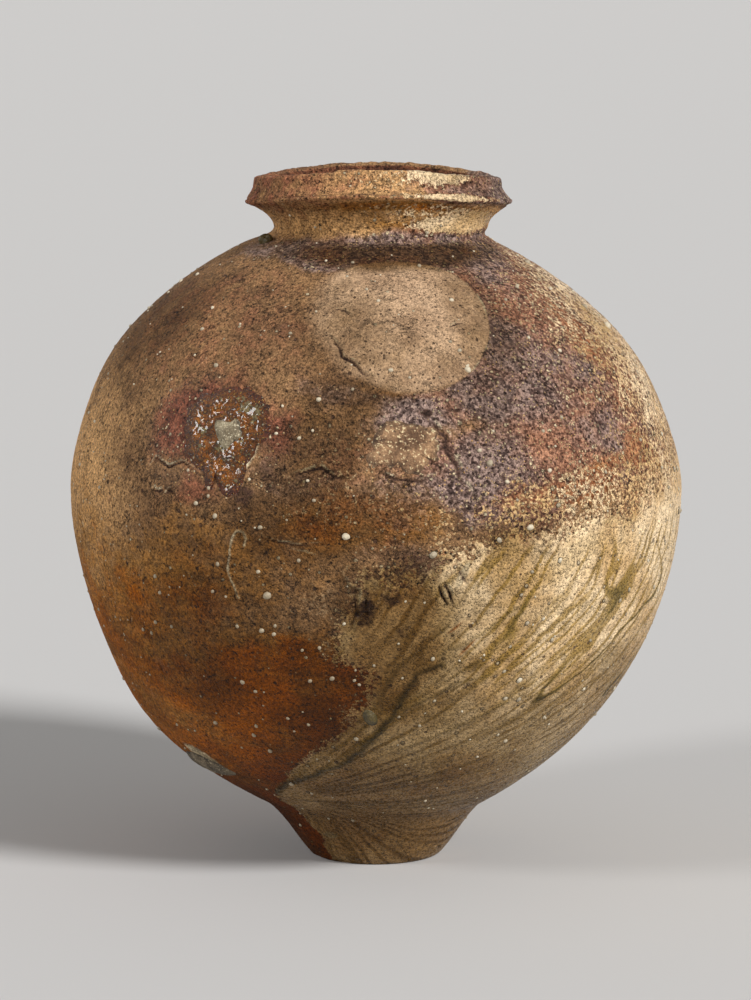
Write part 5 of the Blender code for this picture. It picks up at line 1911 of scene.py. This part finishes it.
class StonewareJar:
    """The whole jar: its body, its rim, and what lies on the skin."""

    def __init__(self) -> None:
        """Settles the form and the kiln's marks, and makes the finishes."""
        self.form = JarForm()
        self.kiln = KilnMap(self.form)
        self.body = Body(self.form, self.kiln)
        self.bits = KilnBits()
        self.grains = FeldsparGrains()
        self.skin = KilnSkin("wood_fired_clay").material()

    def courses(self) -> list[ClayCourse]:
        """The rings of clay from the foot to the neck, each with its edges on the skin."""
        form = self.form
        edge = form.run_at_height(form.floor_thickness - form.seat_drop)
        floor_edge = form.run_at_height(form.floor_thickness, form.wall)
        names = (
            ("foot_ring", "foot_course", "foot_clay", 0.051, 36, 7),
            ("bowl_ring", "bowl_course", "belly_clay", 0.141, 84, 12),
            ("lower_wall_ring", "lower_wall_course", "belly_clay", LOW_JOIN, 82, 12),
            ("lower_belly_ring", "lower_belly_course", "belly_clay", 0.2997, 70, 11),
            ("upper_belly_ring", "upper_belly_course", "belly_clay", HIGH_JOIN, 42, 8),
            ("shoulder_ring", "shoulder_course", "shoulder_clay", 0.4397, 90, 12),
            ("crown_ring", "crown_course", "shoulder_clay", form.corner_run, 78, 11),
            ("neck_ring", "neck_collar", "neck_clay", form.length, 62, 10),
        )
        made = []
        low, inner_low = edge, floor_edge
        for name, node, slot, high, skin_rows, lining_rows in names:
            inner_high = high - form.lap
            rows = (skin_rows, lining_rows)
            made.append(ClayCourse(name, node, slot, low, high, *rows, inner_low, inner_high))
            low, inner_low = high, inner_high
        return made

    def build(self) -> None:
        """Builds and dresses every piece."""
        courses = self.courses()
        slab, rim = FloorSlab(), RimBand()
        built = [(slab, slab.build(self.body, courses[0].low))]
        built += [(course, course.build(self.body)) for course in courses]
        built.append((rim, rim.build(self.body)))
        for piece, grid in built:
            add_piece(mesh_of(piece.name, [grid], mapped=True), self.skin, piece.slot, piece.node)
        self._dress_bits()
        self._dress_grains()

    def _dress_bits(self) -> None:
        """Adds the pool, the chip, the flakes, the tear and the spur."""
        clinker = DryCrust(
            "grey_clinker", tone_pair(120, 106, 82, 176, 162, 132),
            screen_colour(214, 204, 176), screen_colour(70, 60, 44), bump=0.0014, edge=0.16,
        ).material()
        scorched = DryCrust(
            "scorched_clinker", tone_pair(66, 56, 42, 112, 98, 76),
            screen_colour(164, 150, 122), screen_colour(44, 36, 28), bump=0.0016, edge=0.22,
        ).material()
        peach = DryCrust(
            "peach_clay_crust", tone_pair(112, 80, 54, 178, 138, 100),
            screen_colour(222, 200, 156), screen_colour(56, 38, 28),
            crumb_size=0.0022, crumb_level=0.58, bump=0.0034, edge=0.3,
        ).material()
        olive = DryCrust(
            "olive_ash_glass", tone_pair(34, 30, 12, 82, 68, 30),
            screen_colour(120, 108, 70), screen_colour(16, 14, 10), crumb_level=0.76, roughness=0.45,
        ).material()
        bits = self.bits
        finishes = (AmberGlass().material(), clinker, peach, scorched)
        for patch, finish in zip((bits.pool, bits.chip, bits.crust, bits.scar), finishes):
            add_piece(mesh_of(patch.name, [patch.build(self.body)]), finish, patch.slot, patch.node)
        bed = PebbleBed(self.body)
        for name, node, slot, pebble in (
            ("green_tear", "glass_tear", "green_glass", bits.tear),
            ("olive_spur", "neck_spur", "clinker", bits.spur),
        ):
            add_piece(mesh_of(name, bed.build([pebble], columns=48, rows=30, seed=17)), olive, slot, node)

    def _dress_grains(self) -> None:
        """Adds the twelve large grains and, height by height, the small ones."""
        bead, bed = FeldsparBead().material(), PebbleBed(self.body)
        large = bed.build(self.grains.large_pebbles(self.form), columns=28, rows=18, seed=301)
        for number, grid in enumerate(large, start=1):
            mesh = mesh_of(f"feldspar_bead_{number:02d}", [grid])
            add_piece(mesh, bead, "feldspar", f"feldspar_grain_{number:02d}")
        small = self.grains.small_pebbles(self.form, self.kiln)
        for name, low, high in (
            ("low_specks", 0.0, LOW_JOIN), ("belly_specks", LOW_JOIN, HIGH_JOIN),
            ("high_specks", HIGH_JOIN, 1.0),
        ):
            chosen = [p for p in small if low <= p.run < high]
            add_piece(mesh_of(name, bed.build(chosen, columns=9, rows=7, seed=401)), bead, "feldspar")


def main() -> None:
    """Builds the jar and its studio."""
    logging.basicConfig(level=logging.INFO, format="%(message)s")
    StonewareJar().build()
    Studio().build()


if __name__ == "__main__":
    main()
